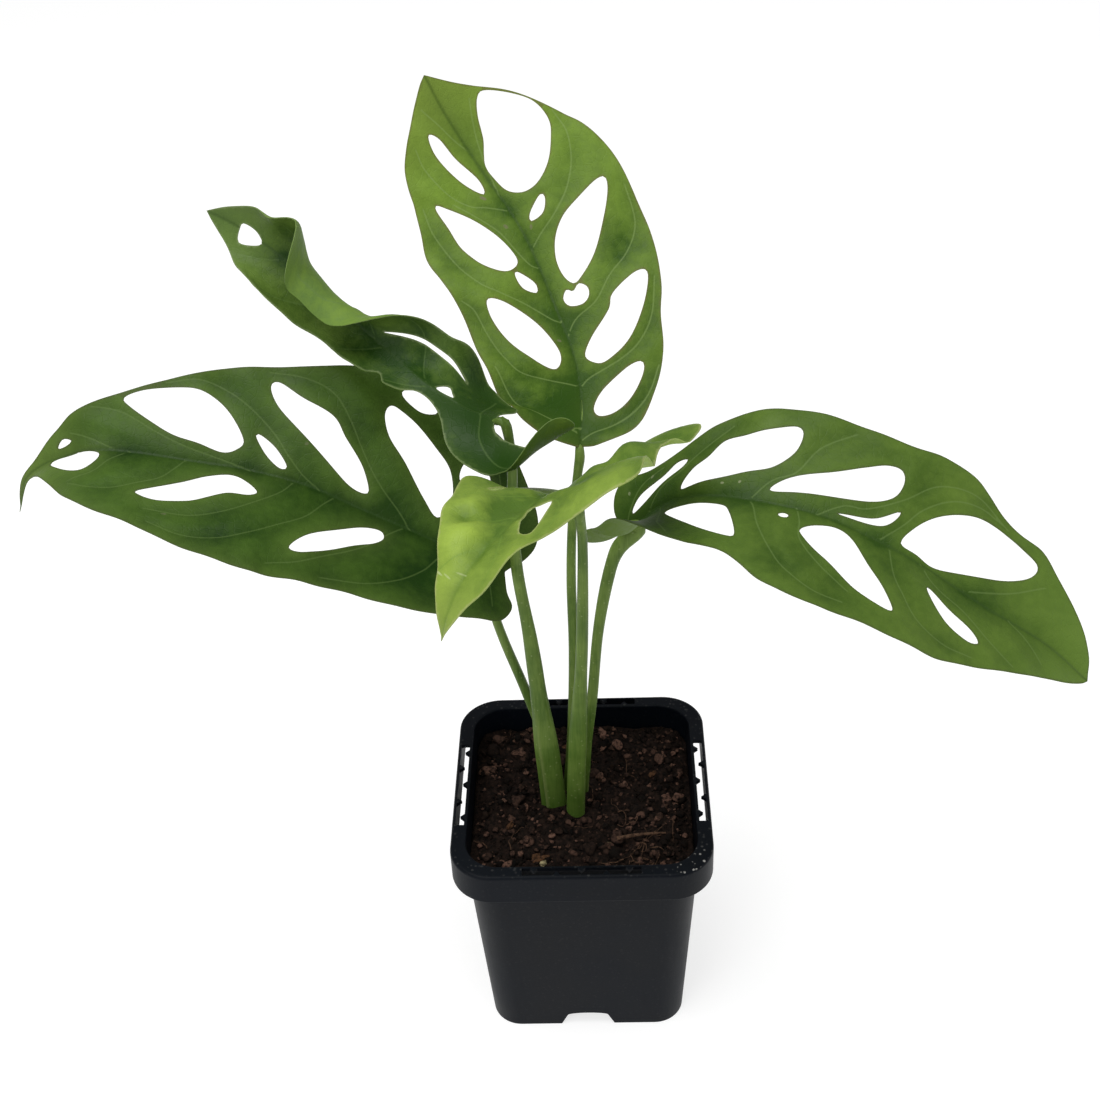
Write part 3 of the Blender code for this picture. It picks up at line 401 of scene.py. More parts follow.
leftLeaf = {
    "spine": [(-5, 4, 160), (-21, 7, 169), (-41, 8, 180), (-64, 10, 192), (-85, 12, 202), (-114, 13, 209),
              (-140, 14, 213), (-153, 15, 210), (-164, 16, 204), (-169, 17, 196), (-172, 18, 188)],
    "facing": (0.0, -0.4, 0.92),
    "roll": 0,
    "foldLeft": 16,
    "foldRight": 16,
    "curlLeft": 0,
    "curlRight": 0,
    "left": [(0, 1.5), (-2.5, 8), (-6, 12), (-5, 17.5), (-1, 21), (7, 23.5), (20, 28), (32, 31.5), (44, 33),
             (56, 36), (66, 39), (76, 40), (86, 39), (97, 36), (110, 31), (122, 27.5), (134, 21), (143, 12),
             (150, 5), (156, 2), (166, 0.8)],
    "right": [(166, -0.8), (156, -1.5), (150, -3.5), (143, -8.5), (137, -12.5), (126, -17.5), (113, -24),
              (106, -27), (94, -31), (81, -34), (73, -36.5), (66, -40), (58, -43.5), (50, -44), (42, -43),
              (34, -41.5), (26, -40.5), (18, -39), (11, -35.5), (4, -28), (-2, -20), (-5, -12), (-4, -6),
              (-1, -1.5)],
    "holes": [
        [(87.5, -9), (89, -5.5), (93, -4), (100, -5.5), (108, -7), (116, -10.5), (122, -14), (124, -16.5),
         (119, -19.5), (110, -22), (102, -22), (94, -17.5)],
        [(138, -4), (140, -3), (143, -3), (141, -5.5)],
        [(128.5, 3), (131, 8), (134.5, 9), (140, 6.5), (145, 2.5), (142, 0.3), (131, 0.3)],
        [(73.5, -3.5), (75.5, -2.5), (80, -5.5), (84, -10.5), (83, -11.5), (78, -8.5)],
        [(48.5, -6), (50.5, -4.5), (56, -5.5), (64, -9.5), (73, -15.5), (80, -21.5), (83, -27), (81, -29),
         (74, -25.5), (66, -23), (61, -18), (53, -12)],
        [(26, -7), (32, -10.5), (41, -18), (49, -24), (53.5, -30), (52, -33.5), (44, -31.5), (35, -27),
         (27.5, -22), (23.5, -13)],
        [(51, -38.5), (47, -36), (42.5, -35), (38.5, -37), (41, -40.5), (47, -41.5)],
        [(24, -21), (24, -27), (18, -27.5), (14, -23), (18, -18)],
        [(80, 8), (82, 10.5), (88, 12), (93, 14.5), (99, 17.5), (107, 19), (114, 17.5), (110, 14),
         (102, 10), (95, 5.5), (87, 4)],
        [(39, 7), (41, 10.5), (48, 16), (56, 23.5), (61, 27), (64.5, 26.5), (61, 20), (54, 13), (47, 7.5),
         (41, 5)],
    ],
    "veins": [
        [(5, 0), (4, 7), (1, 15)],
        [(19, 0), (22.5, 8), (25, 13), (31, 20.5), (40, 27), (52, 31.5)],
        [(34, 0), (38, 5), (44, 14), (52, 22), (60, 30), (70, 35)],
        [(57, 0), (59.5, 4.5), (63.5, 12.5), (71, 19.5), (78.5, 25), (87.5, 29.5), (98, 31), (108, 28)],
        [(70, 0), (73, 6), (79, 12), (88, 19), (98, 23), (110, 23)],
        [(103, 0), (105.5, 4.5), (108.5, 9), (114, 12.5), (121, 16), (128.5, 16.5), (135, 14.5)],
        [(120, 0), (125, 4), (129, 10), (136, 13)],
        [(6, 0), (8, -10), (9, -20), (14, -30)],
        [(16, 0), (20, -5), (24, -9.5)],
        [(32.5, 0), (38, -4), (46, -9), (56, -17.5), (62, -24), (68, -30), (75, -32), (84, -31.5)],
        [(62.5, 0), (68.5, -2.5), (74, -7), (79, -12.5), (87, -19), (95, -23.5), (104, -25.5), (113, -23)],
        [(84, 0), (94, -2), (104, -4), (114, -7.5), (124, -12), (132, -13.5)],
        [(124, 0), (131, -3), (138, -6.5)],
    ],
    "greens": {"light": (68, 96, 30), "dark": (22, 48, 7), "tip": (106, 126, 60), "rib": (40, 62, 24),
               "vein": (94, 116, 62), "edge": (64, 72, 38), "under": (98, 116, 74), "mark": (104, 104, 80)},
    "balance": 0.56, "swell": 1.0, "wave": 0.45, "gloss": 0.44, "veinShow": 0.34, "toTip": 0.6,
    "dents": [(20, 16, -0.9, 9), (60, 26, 0.8, 9), (90, 30, -0.7, 8), (30, -20, -0.8, 9), (62, -34, 0.7, 8),
              (96, -26, -0.6, 7)],
    "marks": [(104, 24, 1.0, 0.5, 0.2, 0.5), (70, -12, 0.8, 0.5, 0.8, 0.5)],
}

frontLeaf = {
    "spine": [(8, -5, 206), (4, -15, 210.5), (0, -25, 217), (-6, -36, 226.5), (-14, -52, 229.5),
              (-23, -66, 227.5), (-30, -75, 218.5), (-32, -78, 211.5)],
    "facing": (-0.05, 0.15, 1.0),
    "roll": 0,
    "foldLeft": [(-15, 59), (0, 50), (25, 32), (50, 8), (88, 0)],
    "foldRight": [(0, 8), (30, 12), (50, 14), (88, 0)],
    "curlLeft": [(-15, -12), (10, -8), (40, 0), (88, 0)],
    "curlRight": -5,
    "swells": [(16, 11, 4.5, 6), (8, 21, 5, 6)],
    "left": [(-1, 1.5), (-6, 5), (-13, 10), (-16, 18), (-16, 26), (-15, 33), (-12.5, 38), (-9, 38.5),
             (-5, 36), (1, 33), (8, 29.5), (16, 28), (24, 30), (30, 33), (34, 33.5), (37, 30.5), (40, 24),
             (45, 18.5), (53, 13.5), (61, 10.5), (69, 9), (76, 5.5), (80, 3.5)],
    "right": [(82, -2.5), (76, -5), (68, -9), (60, -13.5), (52, -18.3), (45, -19), (38, -21), (31, -23),
              (25, -22.5), (19, -24.5), (13, -29.5), (7, -32), (2, -31.5), (-2, -28), (-3.5, -22),
              (-5, -15), (-5, -8), (-3, -3), (-1, -1.5)],
    "holes": [
        [(37, 7), (42, 8.3), (51, 9), (51, 5.5), (45, 3), (40, 3)],
        [(25, -9.5), (30, -10.3), (34.5, -12), (34, -13.3), (29, -11.8)],
    ],
    "veins": [
        [(4, 0), (3, 8), (-3, 20), (-8, 33)],
        [(15, 0), (17, 8), (18, 18), (17, 28)],
        [(26, 0), (29, 6), (31, 15), (31, 30)],
        [(34, 0), (38, 9.5), (45, 12.5), (52, 12)],
        [(51, 0), (56, 3), (63, 6), (70, 7)],
        [(3, 0), (5, -8), (5, -18), (1, -27)],
        [(15, 0), (19, -8), (22, -16), (22, -22)],
        [(30, 0), (35, -7), (40, -14), (44, -18)],
        [(44, 0), (49, -6), (54, -12)],
        [(58, 0), (63, -4), (69, -7.5)],
    ],
    "greens": {"light": (142, 166, 66), "dark": (70, 98, 32), "tip": (128, 146, 66), "rib": (90, 116, 44),
               "vein": (104, 132, 52), "edge": (156, 160, 106), "under": (146, 166, 104),
               "mark": (176, 186, 138)},
    "balance": 0.5, "swell": 1.2, "wave": 0.5, "gloss": 0.42, "veinShow": 0.45, "toTip": 0.55,
    "dents": [(20, -14, -2.2, 6), (30, -14, -1.1, 5), (8, -22, -1.5, 7), (6, 23, -1.0, 6),
              (27, 12, -1.2, 5), (26, 3, -1.2, 4), (40, -6, -0.7, 5), (34, 22, 0.5, 6), (56, -7, 1.5, 6),
              (46, -13, 0.8, 4), (50, -13, -0.9, 3), (49, -4, -0.8, 3), (66, -6, 0.9, 4), (61, -1, -0.7, 3),
              (44, 14, 0.5, 4), (41, 2.2, 0.8, 2.4), (47, 3.2, 0.8, 2.4), (-4, 35, -1.3, 4),
              (6, 34, -1.4, 4), (16, 33, -1.4, 4), (26, 34, -1.4, 4), (35, 33, -1.3, 4), (44, -7, -1.5, 4),
              (39, -3, -1.2, 3.5), (51, -11, -1.3, 3.5), (54, -3, -0.9, 3.5), (24, -10, -1.3, 4),
              (60, -9, 0.6, 5), (40, -13, 0.9, 4), (72, -4, 0.9, 4)],
    "marks": [(70, -7.5, 2.4, 0.35, 1.4, 0.6), (70, -4, 1.6, 0.3, 1.3, 0.5), (68, -1, 1.8, 0.3, 1.7, 0.5),
              (71, -9.5, 1.0, 0.3, 0.2, 0.5)],
}

foldedLeaf = {
    "spine": [(-8, 3, 226), (-20, 7, 225), (-29, 12, 225), (-41, 20, 229), (-54, 31, 235), (-68, 41, 244),
              (-82, 48, 255), (-97, 55, 264), (-107, 57, 269)],
    "facing": (0.0, -0.5, 0.85),
    "roll": [(0, -22), (30, -12), (60, 45), (112, 45)],
    "foldLeft": [(-28, 0), (-8, -52), (0, -62), (15, -55), (35, -20), (52, 0), (112, 0)],
    "foldRight": [(0, -30), (28, -25), (42, -8), (54, 12), (64, 15), (76, 5), (84, -8), (92, 0), (112, 0)],
    "curlLeft": [(-20, 45), (0, 36), (30, 40), (50, 55), (90, 65), (112, 20)],
    "curlRight": [(-20, -5), (15, 0), (32, 50), (50, 80), (60, 90), (74, 85), (84, 36), (93, 45), (112, 40)],
    "left": [(0.8, 1.8), (0.8, 3.4), (-1.5, 6), (-9, 8.5), (-18, 10), (-26, 12), (-28, 17), (-21, 22),
             (-10, 23.5), (-1, 20), (5, 17), (11, 12.5), (16.5, 6.5), (22, 3.8), (27, 4), (30.5, 7.5),
             (35, 9), (39, 7), (43, 10), (49, 11.5), (56, 11.5), (63, 12.5), (70, 14.5), (78, 15),
             (87, 13.5), (95, 11), (101, 7.5), (107, 4)],
    "right": [(109, -2.5), (104, -6.5), (98, -12.5), (91, -19), (84, -23.5), (76, -21), (66, -18),
              (56, -17.5), (48, -17), (40, -16), (31, -17), (24, -19.5), (12, -21), (3, -17), (-1, -10),
              (0.8, -5), (0.8, -2)],
    "holes": [
        [(93, 0.5), (96, 3), (99.5, 4), (101, 1), (100.5, -2), (96, -2)],
        [(19, -12), (26, -11), (34, -9.7), (41, -6.6), (47, -3.4), (42, -7.2), (35, -10.6), (27, -12.3)],
        [(16.5, -1), (22.5, -0.8), (22.5, -3), (20.5, -5), (18, -3)],
    ],
    "veins": [
        [(6, 0), (4, 8), (-4, 16), (-12, 20)],
        [(24, 0), (28, 3), (34, 7), (42, 10)],
        [(44, 0), (50, 6), (58, 13), (68, 17)],
        [(62, 0), (70, 6), (80, 12), (88, 14)],
        [(84, 0), (90, 4), (97, 7)],
        [(6, 0), (8, -7), (10, -16)],
        [(26, 0), (32, -5), (38, -12), (48, -16)],
        [(48, 0), (55, -6), (64, -12), (76, -16)],
        [(72, 0), (80, -6), (88, -10)],
    ],
    "greens": {"light": (104, 130, 52), "dark": (28, 56, 10), "tip": (80, 102, 52), "rib": (48, 70, 28),
               "vein": (92, 116, 62), "edge": (120, 134, 90), "under": (86, 112, 54), "mark": (120, 124, 96)},
    "balance": 0.46, "swell": 0.7, "wave": 0.3, "gloss": 0.42, "veinShow": 0.3, "toTip": 0.8,
    "dents": [(14, -14, -0.6, 6), (60, 6, 0.5, 6), (84, -6, -0.5, 6)],
    "marks": [],
}

leaves = {"crown": crownLeaf, "right": rightLeaf, "left": leftLeaf, "front": frontLeaf, "folded": foldedLeaf}

# The spacing and the relief of a blade, in millimetres. Each groove, ridge or dip is a pair of
# height and width. "edgeThinning" is the share of the thickness that an edge loses, and how far
# in. "fine" and "broad" are how far vein, midrib and edge show in the paint; the broad reach of
# vein and midrib is painted shade, darker green in the valleys beside them.
sheet = {
    "thickness": 0.42,
    "edgeThinning": (0.35, 0.8),
    "edgeStep": 1.2,
    "holeStep": 0.96,
    "gridStep": 1.25,
    "lineStep": 1.2,
    "spineSteps": 24,
    "spineReach": 2.0,
    "normalReach": 0.8,
    "ribRows": (0.6, 1.3),
    "veinRow": 0.55,
    "veinClear": 0.7,
    "ribClear": 0.8,
    "rowClear": 0.45,
    "gridClear": 0.775,
    "groove": (0.22, 0.8),
    "veinGroove": (0.07, 0.45),
    "ridge": (0.75, 0.9),
    "ridgeFade": 0.8,
    "veinRidge": (0.18, 0.6),
    "ribDip": (1.0, 5.0),
    "veinDip": (1.0, 4.5),
    "cushionLevel": 0.4,
    "ripple": 4.6,
    "reliefLimit": 1.5,
    "fine": (0.35, 0.95, 0.5),
    "broad": (3.2, 4.2, 4.0),
}


def smoothCurve(points, closed, steps):
    # a curve that passes through all the points
    points = np.asarray(points, float)
    count = len(points)
    curve = []
    for index in range(count if closed else count - 1):
        start = points[index]
        end = points[(index + 1) % count]
        before = points[index - 1] if closed or index > 0 else 2 * start - end
        after = points[(index + 2) % count] if closed or index + 2 < count else 2 * end - start
        for step in range(steps):
            t = step / steps
            curve.append(0.5 * (2 * start + (end - before) * t
                                + (2 * before - 5 * start + 4 * end - after) * t ** 2
                                + (3 * start - before - 3 * end + after) * t ** 3))
    if not closed:
        curve.append(points[-1])
    return np.array(curve)


def lengthsAlong(line):
    # the distance along a line at each of its points
    return np.concatenate([[0.0], np.cumsum(np.linalg.norm(np.diff(line, axis=0), axis=1))])


def evenSteps(curve, closed, step):
    loop = np.vstack([curve, curve[:1]]) if closed else curve
    lengths = lengthsAlong(loop)
    pieces = max(6 if closed else 1, round(lengths[-1] / step))
    places = np.linspace(0.0, lengths[-1], pieces + 1)
    if closed:
        places = places[:-1]
    return np.stack([np.interp(places, lengths, loop[:, axis]) for axis in range(loop.shape[1])], 1)


def eased(knots, place):
    # a value that eases from one (place, value) to the next, or one number for all places
    if isinstance(knots, (int, float)):
        return np.full(np.shape(place), float(knots))
    places, values = np.array(knots, float).T
    place = np.clip(place, places[0], places[-1])
    index = np.clip(np.searchsorted(places, place, side="right") - 1, 0, len(places) - 2)
    t = (place - places[index]) / (places[index + 1] - places[index])
    return values[index] + (values[index + 1] - values[index]) * t * t * (3 - 2 * t)


def spineFrame(leaf, along):
    # the midrib's point, direction, upward normal and leftward side at each distance
    curve = smoothCurve(leaf["spine"], False, sheet["spineSteps"])
    lengths = lengthsAlong(curve)
    lengths -= lengths[sheet["spineSteps"]]
    reach = sheet["spineReach"]

    def pointAt(distance):
        inside = np.clip(distance, lengths[0], lengths[-1])
        return np.stack([np.interp(inside, lengths, curve[:, axis]) for axis in range(3)], -1)

    behind = np.clip(along - reach, lengths[0], lengths[-1] - 2 * reach)
    direction = unit(pointAt(behind + 2 * reach) - pointAt(behind))
    beyond = along - np.clip(along, lengths[0], lengths[-1])
    facing = np.array(leaf["facing"], float)
    level = unit(facing - direction * (direction @ facing)[:, None])
    aside = np.cross(level, direction)
    roll = np.radians(eased(leaf["roll"], along))[:, None]
    normal = level * np.cos(roll) + aside * np.sin(roll)
    return pointAt(along) + direction * beyond[:, None], direction, normal, np.cross(normal, direction)


def domes(places, flat):
    # low domes and hollows, each (distance along, distance across, height, reach)
    height = np.zeros(len(flat))
    for along, across, rise, reach in places:
        height += rise * np.exp(-((flat[:, 0] - along) ** 2 + (flat[:, 1] - across) ** 2) / reach ** 2)
    return height


def bladePoints(leaf, flat):
    # where the points of the flat leaf lie once it is folded, curled, bent and swollen
    along, across = flat.T
    point, _, normal, side = spineFrame(leaf, along)
    fold, curl = (np.where(across > 0, eased(leaf[key + "Left"], along), eased(leaf[key + "Right"], along))
                  for key in ("fold", "curl"))
    fold = np.radians(fold)
    curl = np.radians(curl) / 10 + 1e-9
    end = fold + curl * np.abs(across)
    outward = np.sign(across) * (np.sin(end) - np.sin(fold)) / curl
    upward = (np.cos(fold) - np.cos(end)) / curl
    height = domes(leaf.get("swells", []), flat)
    outward -= np.sign(across) * np.sin(end) * height
    upward += np.cos(end) * height
    return point + side * outward[:, None] + normal * upward[:, None]


def bladeNormals(leaf, flat):
    ahead, aside = (bladePoints(leaf, flat + step) - bladePoints(leaf, flat - step)
                    for step in sheet["normalReach"] * np.eye(2))
    return unit(np.cross(ahead, aside))


def insideLoop(points, loop):
    inside = np.zeros(len(points), bool)
    for (x0, y0), (x1, y1) in zip(loop, np.roll(loop, -1, axis=0)):
        if y0 == y1:
            continue
        crosses = (y0 > points[:, 1]) != (y1 > points[:, 1])
        inside ^= crosses & (points[:, 0] < (x1 - x0) * (points[:, 1] - y0) / (y1 - y0) + x0)
    return inside


def onSheet(points, outline, holes):
    # which points lie inside the outline and outside its holes
    kept = insideLoop(points, outline)
    for hole in holes:
        kept &= ~insideLoop(points, hole)
    return kept


def awayFrom(points, others):
    # the distance from each point to the nearest of the others
    nearest = np.full(len(points), np.inf)
    for start in range(0, len(others), 200):
        chunk = others[start:start + 200]
        nearest = np.minimum(nearest, np.linalg.norm(points[:, None] - chunk[None], axis=2).min(axis=1))
    return nearest


def awayFromLines(points, lines):
    # the distance from each point to the nearest of some lines
    nearest = np.full(len(points), np.inf)
    for line in lines:
        for start, end in zip(line[:-1], line[1:]):
            run = end - start
            share = np.clip((points - start) @ run / max(run @ run, 1e-9), 0, 1)
            nearest = np.minimum(nearest, np.linalg.norm(points - start - share[:, None] * run, axis=1))
    return nearest


def midribLength(leaf):
    curve = smoothCurve(leaf["spine"][1:], False, sheet["spineSteps"])
    return float(np.linalg.norm(np.diff(curve, axis=0), axis=1).sum())


def leafLoops(leaf, length):
    # the outline of the flat leaf and of its holes, in even steps
    base, tip = (0, 0), (length, 0)
    margins = [evenSteps(smoothCurve(margin, False, 6)[:-1], False, sheet["edgeStep"])[:-1]
               for margin in ([base, *leaf["left"], tip], [tip, *leaf["right"], base])]
    holes = [evenSteps(smoothCurve(hole, True, 6), True, sheet["holeStep"]) for hole in leaf["holes"]]
    return np.vstack(margins)[::-1], holes


def hexGrid(low, high, step):
    rows = []
    for row, y in enumerate(np.arange(low[1], high[1], step * math.sqrt(3) / 2)):
        rows += [(x, y) for x in np.arange(low[0] + step / 2 * (row % 2), high[0], step)]
    return np.array(rows)


def besideLine(line, distance):
    # rows of points on both sides of a line
    ahead = np.gradient(line, axis=0)
    aside = unit(np.stack([-ahead[:, 1], ahead[:, 0]], 1)) * distance
    return np.vstack([line + aside, line - aside])


def triangulate(outline, holes, lines, inner):
    # points and anticlockwise triangles of a flat outline with holes, lines and inner points
    edges = []
    first = 0
    for loop in [outline, *holes]:
        edges += [(first + index, first + (index + 1) % len(loop)) for index in range(len(loop))]
        first += len(loop)
    for line in lines:
        edges += [(first + index, first + index + 1) for index in range(len(line) - 1)]
        first += len(line)
    points = np.vstack([outline, *holes, *lines, inner])
    result = geometry.delaunay_2d_cdt([Vector(point) for point in points], edges, [], 0, 1e-5)
    points = np.array([tuple(point) for point in result[0]])
    triangles = np.array([face for face in result[2] if len(face) == 3])
    triangles = triangles[onSheet(points[triangles].mean(axis=1), outline, holes)]
    used = np.unique(triangles)
    order = np.zeros(len(points), int)
    order[used] = np.arange(len(used))
    return points[used], order[triangles]


def edgeOfSheet(triangles):
    # the directed edges that only one triangle has
    edges = {(int(face[turn]), int(face[turn - 2])) for face in triangles for turn in range(3)}
    return [edge for edge in edges if (edge[1], edge[0]) not in edges]


def leafMaterial(name, leaf, length):
    material, paint = newMaterial(name + "_leaf")
    green = {key: linear(*value) for key, value in leaf["greens"].items()}
    flat = paint.stored("flat")
    along, across, under = flat.parts()
    vein, rib, edge = paint.stored("fine").parts()
    # veinShade and ribShade are painted shade: the green darkens in the valleys beside side veins and midrib
    veinShade, ribShade, edgeBroad = paint.stored("broad").parts()
    relief = paint.stored("relief").parts()[0]
    blotch = flat.noise(0.055, 2.0, 0.5, 0.4).step(0.28, 0.72)
    mottle = flat.noise(0.34, 4.0, 0.65).step(0.3, 0.72)
    grain = flat.noise(2.6, 3.0, 0.6)
    toTip = (along * (1 / length)).clamped()
    share = leaf["balance"] + (blotch - 0.5) * 0.34 + (mottle - 0.5) * 0.2 + (grain - 0.5) * 0.14
    # relief paints the dents into the green: painted shade in their hollows, painted light on their domes
    share = share - ribShade * 0.42 - veinShade * 0.22 + (toTip - 0.5) * leaf["toTip"] + relief * 0.26
    colour = share.clamped().mix(green["dark"], green["light"])
    for amount, key in ((toTip.step(0.72, 1.0) * 0.6, "tip"), (edgeBroad * 0.22, "tip"),
                        (rib.step(0.15, 0.95) * 0.42, "rib"),
                        (vein.step(0.35, 0.95) * leaf["veinShow"], "vein")):
        colour = amount.mix(colour, green[key])
    for middle, aside, size, width, turn, strength in leaf["marks"]:
        offAlong, offAcross = along - middle, across - aside
        lengthwise = (offAlong * math.cos(turn) + offAcross * math.sin(turn)) * (1 / size)
        crosswise = (offAcross * math.cos(turn) - offAlong * math.sin(turn)) * (1 / width)
        spot = 1 - (lengthwise * lengthwise + crosswise * crosswise).clamped()
        colour = (spot.step(0.0, 0.6) * (mottle + 0.3).clamped() * strength).mix(colour, green["mark"])
    colour = (edge.step(0.4, 0.95) * 0.55).mix(colour, green["edge"])
    back = (mottle * 0.5 + blotch * 0.5).mix(green["under"], green["light"])
    back = (rib.step(0.1, 0.8) * 0.6).mix(back, green["vein"])
    back = (vein.step(0.2, 0.8) * 0.5).mix(back, green["vein"])
    colour = under.mix(colour, back)
    net = flat.cells(0.42, "DISTANCE_TO_EDGE").step(0.0, 0.09)
    roughness = leaf["gloss"] + (mottle - 0.5) * 0.12 + under * 0.16 + (grain - 0.5) * 0.08
    return finish(material, colour, roughness, net * 0.55 + grain * 0.45, 0.00012, 0.55,
                  **{"IOR": 1.42, "Specular IOR Level": 0.14})


def leafSheet(leaf, length):
    # the flat leaf in triangles, and the distance of each point from midrib, side veins and edges
    outline, holes = leafLoops(leaf, length)
    rims = np.vstack([outline, *holes])
    midrib = evenSteps(np.array([(0.0, 0.0), (length, 0.0)]), False, sheet["lineStep"])
    sideVeins = [evenSteps(smoothCurve(vein, False, 8), False, sheet["lineStep"]) for vein in leaf["veins"]]
    cutVeins = []
    for vein in sideVeins:
        clear = onSheet(vein, outline, holes) & (awayFrom(vein, rims) > sheet["veinClear"])
        clear &= np.abs(vein[:, 1]) > sheet["ribClear"]
        cutVeins.append(vein[clear] if clear.sum() > 1 else vein[:0])
    rows = [besideLine(midrib, distance) for distance in sheet["ribRows"]]
    rows += [besideLine(vein, sheet["veinRow"]) for vein in cutVeins if len(vein) > 2]
    placed = np.vstack([rims, midrib, *cutVeins])
    onLines = len(placed)
    for row in rows:
        keep = onSheet(row, outline, holes) & (awayFrom(row, placed) > sheet["rowClear"])
        placed = np.vstack([placed, row[keep]])
    grid = hexGrid(outline.min(axis=0), outline.max(axis=0), sheet["gridStep"])
    keep = onSheet(grid, outline, holes) & (awayFrom(grid, placed) > sheet["gridClear"])
    inner = np.vstack([placed[onLines:], grid[keep]])
    lines = [midrib[1:-1]] + [vein for vein in cutVeins if len(vein) > 1]
    flat, triangles = triangulate(outline, holes, lines, inner)
    rings = [np.vstack([loop, loop[:1]]) for loop in [outline, *holes]]
    return flat, triangles, *(awayFromLines(flat, near) for near in ([midrib], sideVeins, rings))


def raised(distance, shape):
    # a ridge of (height, width) along a line at this distance
    height, width = shape
    return height * np.exp(-(distance / width) ** 2)


def makeLeaf(name):
    leaf = leaves[name]
    length = midribLength(leaf)
    flat, triangles, toRib, toVein, toEdge = leafSheet(leaf, length)
    along, across = flat.T
    # the broad reach of side veins and midrib, used as painted shade in the valleys beside them
    veinShade, ribShade, edgeBroad = (
        np.exp(-away / reach) for away, reach in zip((toVein, toRib, toEdge), sheet["broad"]))
    cushion = (1 - raised(toVein, sheet["veinDip"])) * (1 - raised(toRib, sheet["ribDip"]))
    ripple = np.sin(along / sheet["ripple"] + np.sign(across) * 1.3)
    ripple += 0.6 * np.sin(along * 2 / sheet["ripple"] + 0.8)
    dents = domes(leaf["dents"], flat)
    lift = leaf["swell"] * (cushion - sheet["cushionLevel"]) * (1 - edgeBroad * 0.5)
    lift += leaf["wave"] * ripple * edgeBroad * 0.6 + dents
    onTop = raised(toRib, sheet["groove"]) + raised(toVein, sheet["veinGroove"])
    below = raised(toRib, sheet["ridge"]) * (1 - sheet["ridgeFade"] * np.clip(along / length, 0, 1))
    below += raised(toVein, sheet["veinRidge"])
    thinner, reach = sheet["edgeThinning"]
    half = sheet["thickness"] / 2 * (1 - thinner * np.exp(-toEdge / reach))
    middle = bladePoints(leaf, flat)
    normal = bladeNormals(leaf, flat)
    top = middle + normal * (lift + half - onTop)[:, None]
    bottom = middle + normal * (lift - half - below)[:, None]
    count = len(flat)
    faces = [tuple(map(int, face)) for face in triangles]
    faces += [tuple(int(corner) + count for corner in face[::-1]) for face in triangles]
    faces += [(end, start, start + count, end + count) for start, end in edgeOfSheet(triangles)]
    material = leafMaterial(name, leaf, length)
    blade = makeMesh(name + "_leaf", np.vstack([top, bottom]), faces, [material], 60)
    veinFine, ribFine, edgeFine = sheet["fine"]
    fine = (raised(toVein, (1, veinFine)), np.clip(1 - toRib / ribFine, 0, 1),
            np.clip(1 - toEdge / edgeFine, 0, 1))
    # the dents' heights, stored for the painted shade and painted light in the leaf's green
    relief = np.clip(dents, -sheet["reliefLimit"], sheet["reliefLimit"])
    addValues(blade, "flat", np.vstack([np.column_stack([flat, np.full(count, under)]) for under in (0, 1)]))
    for key, values in (("fine", fine), ("broad", (veinShade, ribShade, edgeBroad)),
                        ("relief", (relief, 0 * relief, 0 * relief))):
        addValues(blade, key, np.tile(np.column_stack(values), (2, 1)))
    settle(blade, name + "_leaf", name + "_leaf_blade")


for leafName in leaves:
    makeLeaf(leafName)


# Stalks. "foot" is where the stalk stands in the soil and "way" its middle line above it. "meets"
# is how far along the midrib it ends under the blade, or "edge" where it runs on into the
# midrib, and then "arrives" is its direction there. "width" and "depth" go by the share of the
# stalk. "sheath" is the share that the old sheath clasps, and the angle that it opens to.
stalks = {
    "front": {
        "meets": 2.5,
        "foot": (-2, -6.5),
        "way": [(-1, -7.5, 100), (0.5, -9, 125), (2, -11, 150), (3, -13, 175), (3.5, -14.5, 196)],
        "width": [(0, 6.3), (0.3, 6.1), (0.55, 3.8), (1, 2.8)],
        "depth": [(0, 4.8), (0.3, 4.4), (0.55, 3.4), (1, 2.8)],
        "sheath": (0.42, 20),
    },
    "folded": {
        "meets": "edge",
        "arrives": (-0.6, 0.1, 0.8),
        "foot": (-9.5, -3),
        "way": [(-10.5, -2, 95), (-12, 0, 115), (-14.4, 3, 145), (-17.2, 5, 170), (-17.6, 6, 192),
                (-16.8, 6.4, 209)],
        "width": [(0, 8.8), (0.2, 8.4), (0.4, 5.2), (0.6, 3.8), (1, 2.8)],
        "depth": [(0, 4.0), (0.2, 4.0), (0.4, 3.6), (0.6, 3.4), (1, 2.8)],
        "sheath": (0.34, 200),
    },
    "left": {
        "meets": 2.5,
        "foot": (-9.4, 5.4),
        "way": [(-12.3, 6.8, 100), (-17.5, 8, 120), (-23, 8, 140), (-25.5, 8, 152), (-25, 7.5, 161)],
        "width": [(0, 3.6), (1, 2.9)],
        "depth": [(0, 3.6), (1, 2.9)],
        "sheath": (0.2, 150),
    },
    "crown": {
        "meets": "edge",
        "arrives": (0, 0.45, 0.9),
        "foot": (-4.3, 4.6),
        "way": [(-2.2, 6, 105), (-1, 8.5, 135), (-1, 13, 160), (0, 18, 180), (2, 22, 194)],
        "width": [(0, 3.8), (1, 2.8)],
        "depth": [(0, 3.8), (1, 2.8)],
        "sheath": (0.25, 60),
    },
    "right": {
        "meets": 2.5,
        "foot": (0.8, 2),
        "way": [(2.2, 2.5, 100), (4.6, 3.2, 120), (7, 5, 145), (10.5, 7, 165), (14, 8, 176)],
        "width": [(0, 3.6), (0.6, 3.4), (0.85, 4.0), (0.94, 5.4), (1, 4.2)],
        "depth": [(0, 3.6), (0.6, 3.2), (1, 3.6)],
        "sheath": (0.18, 0),
    },
}

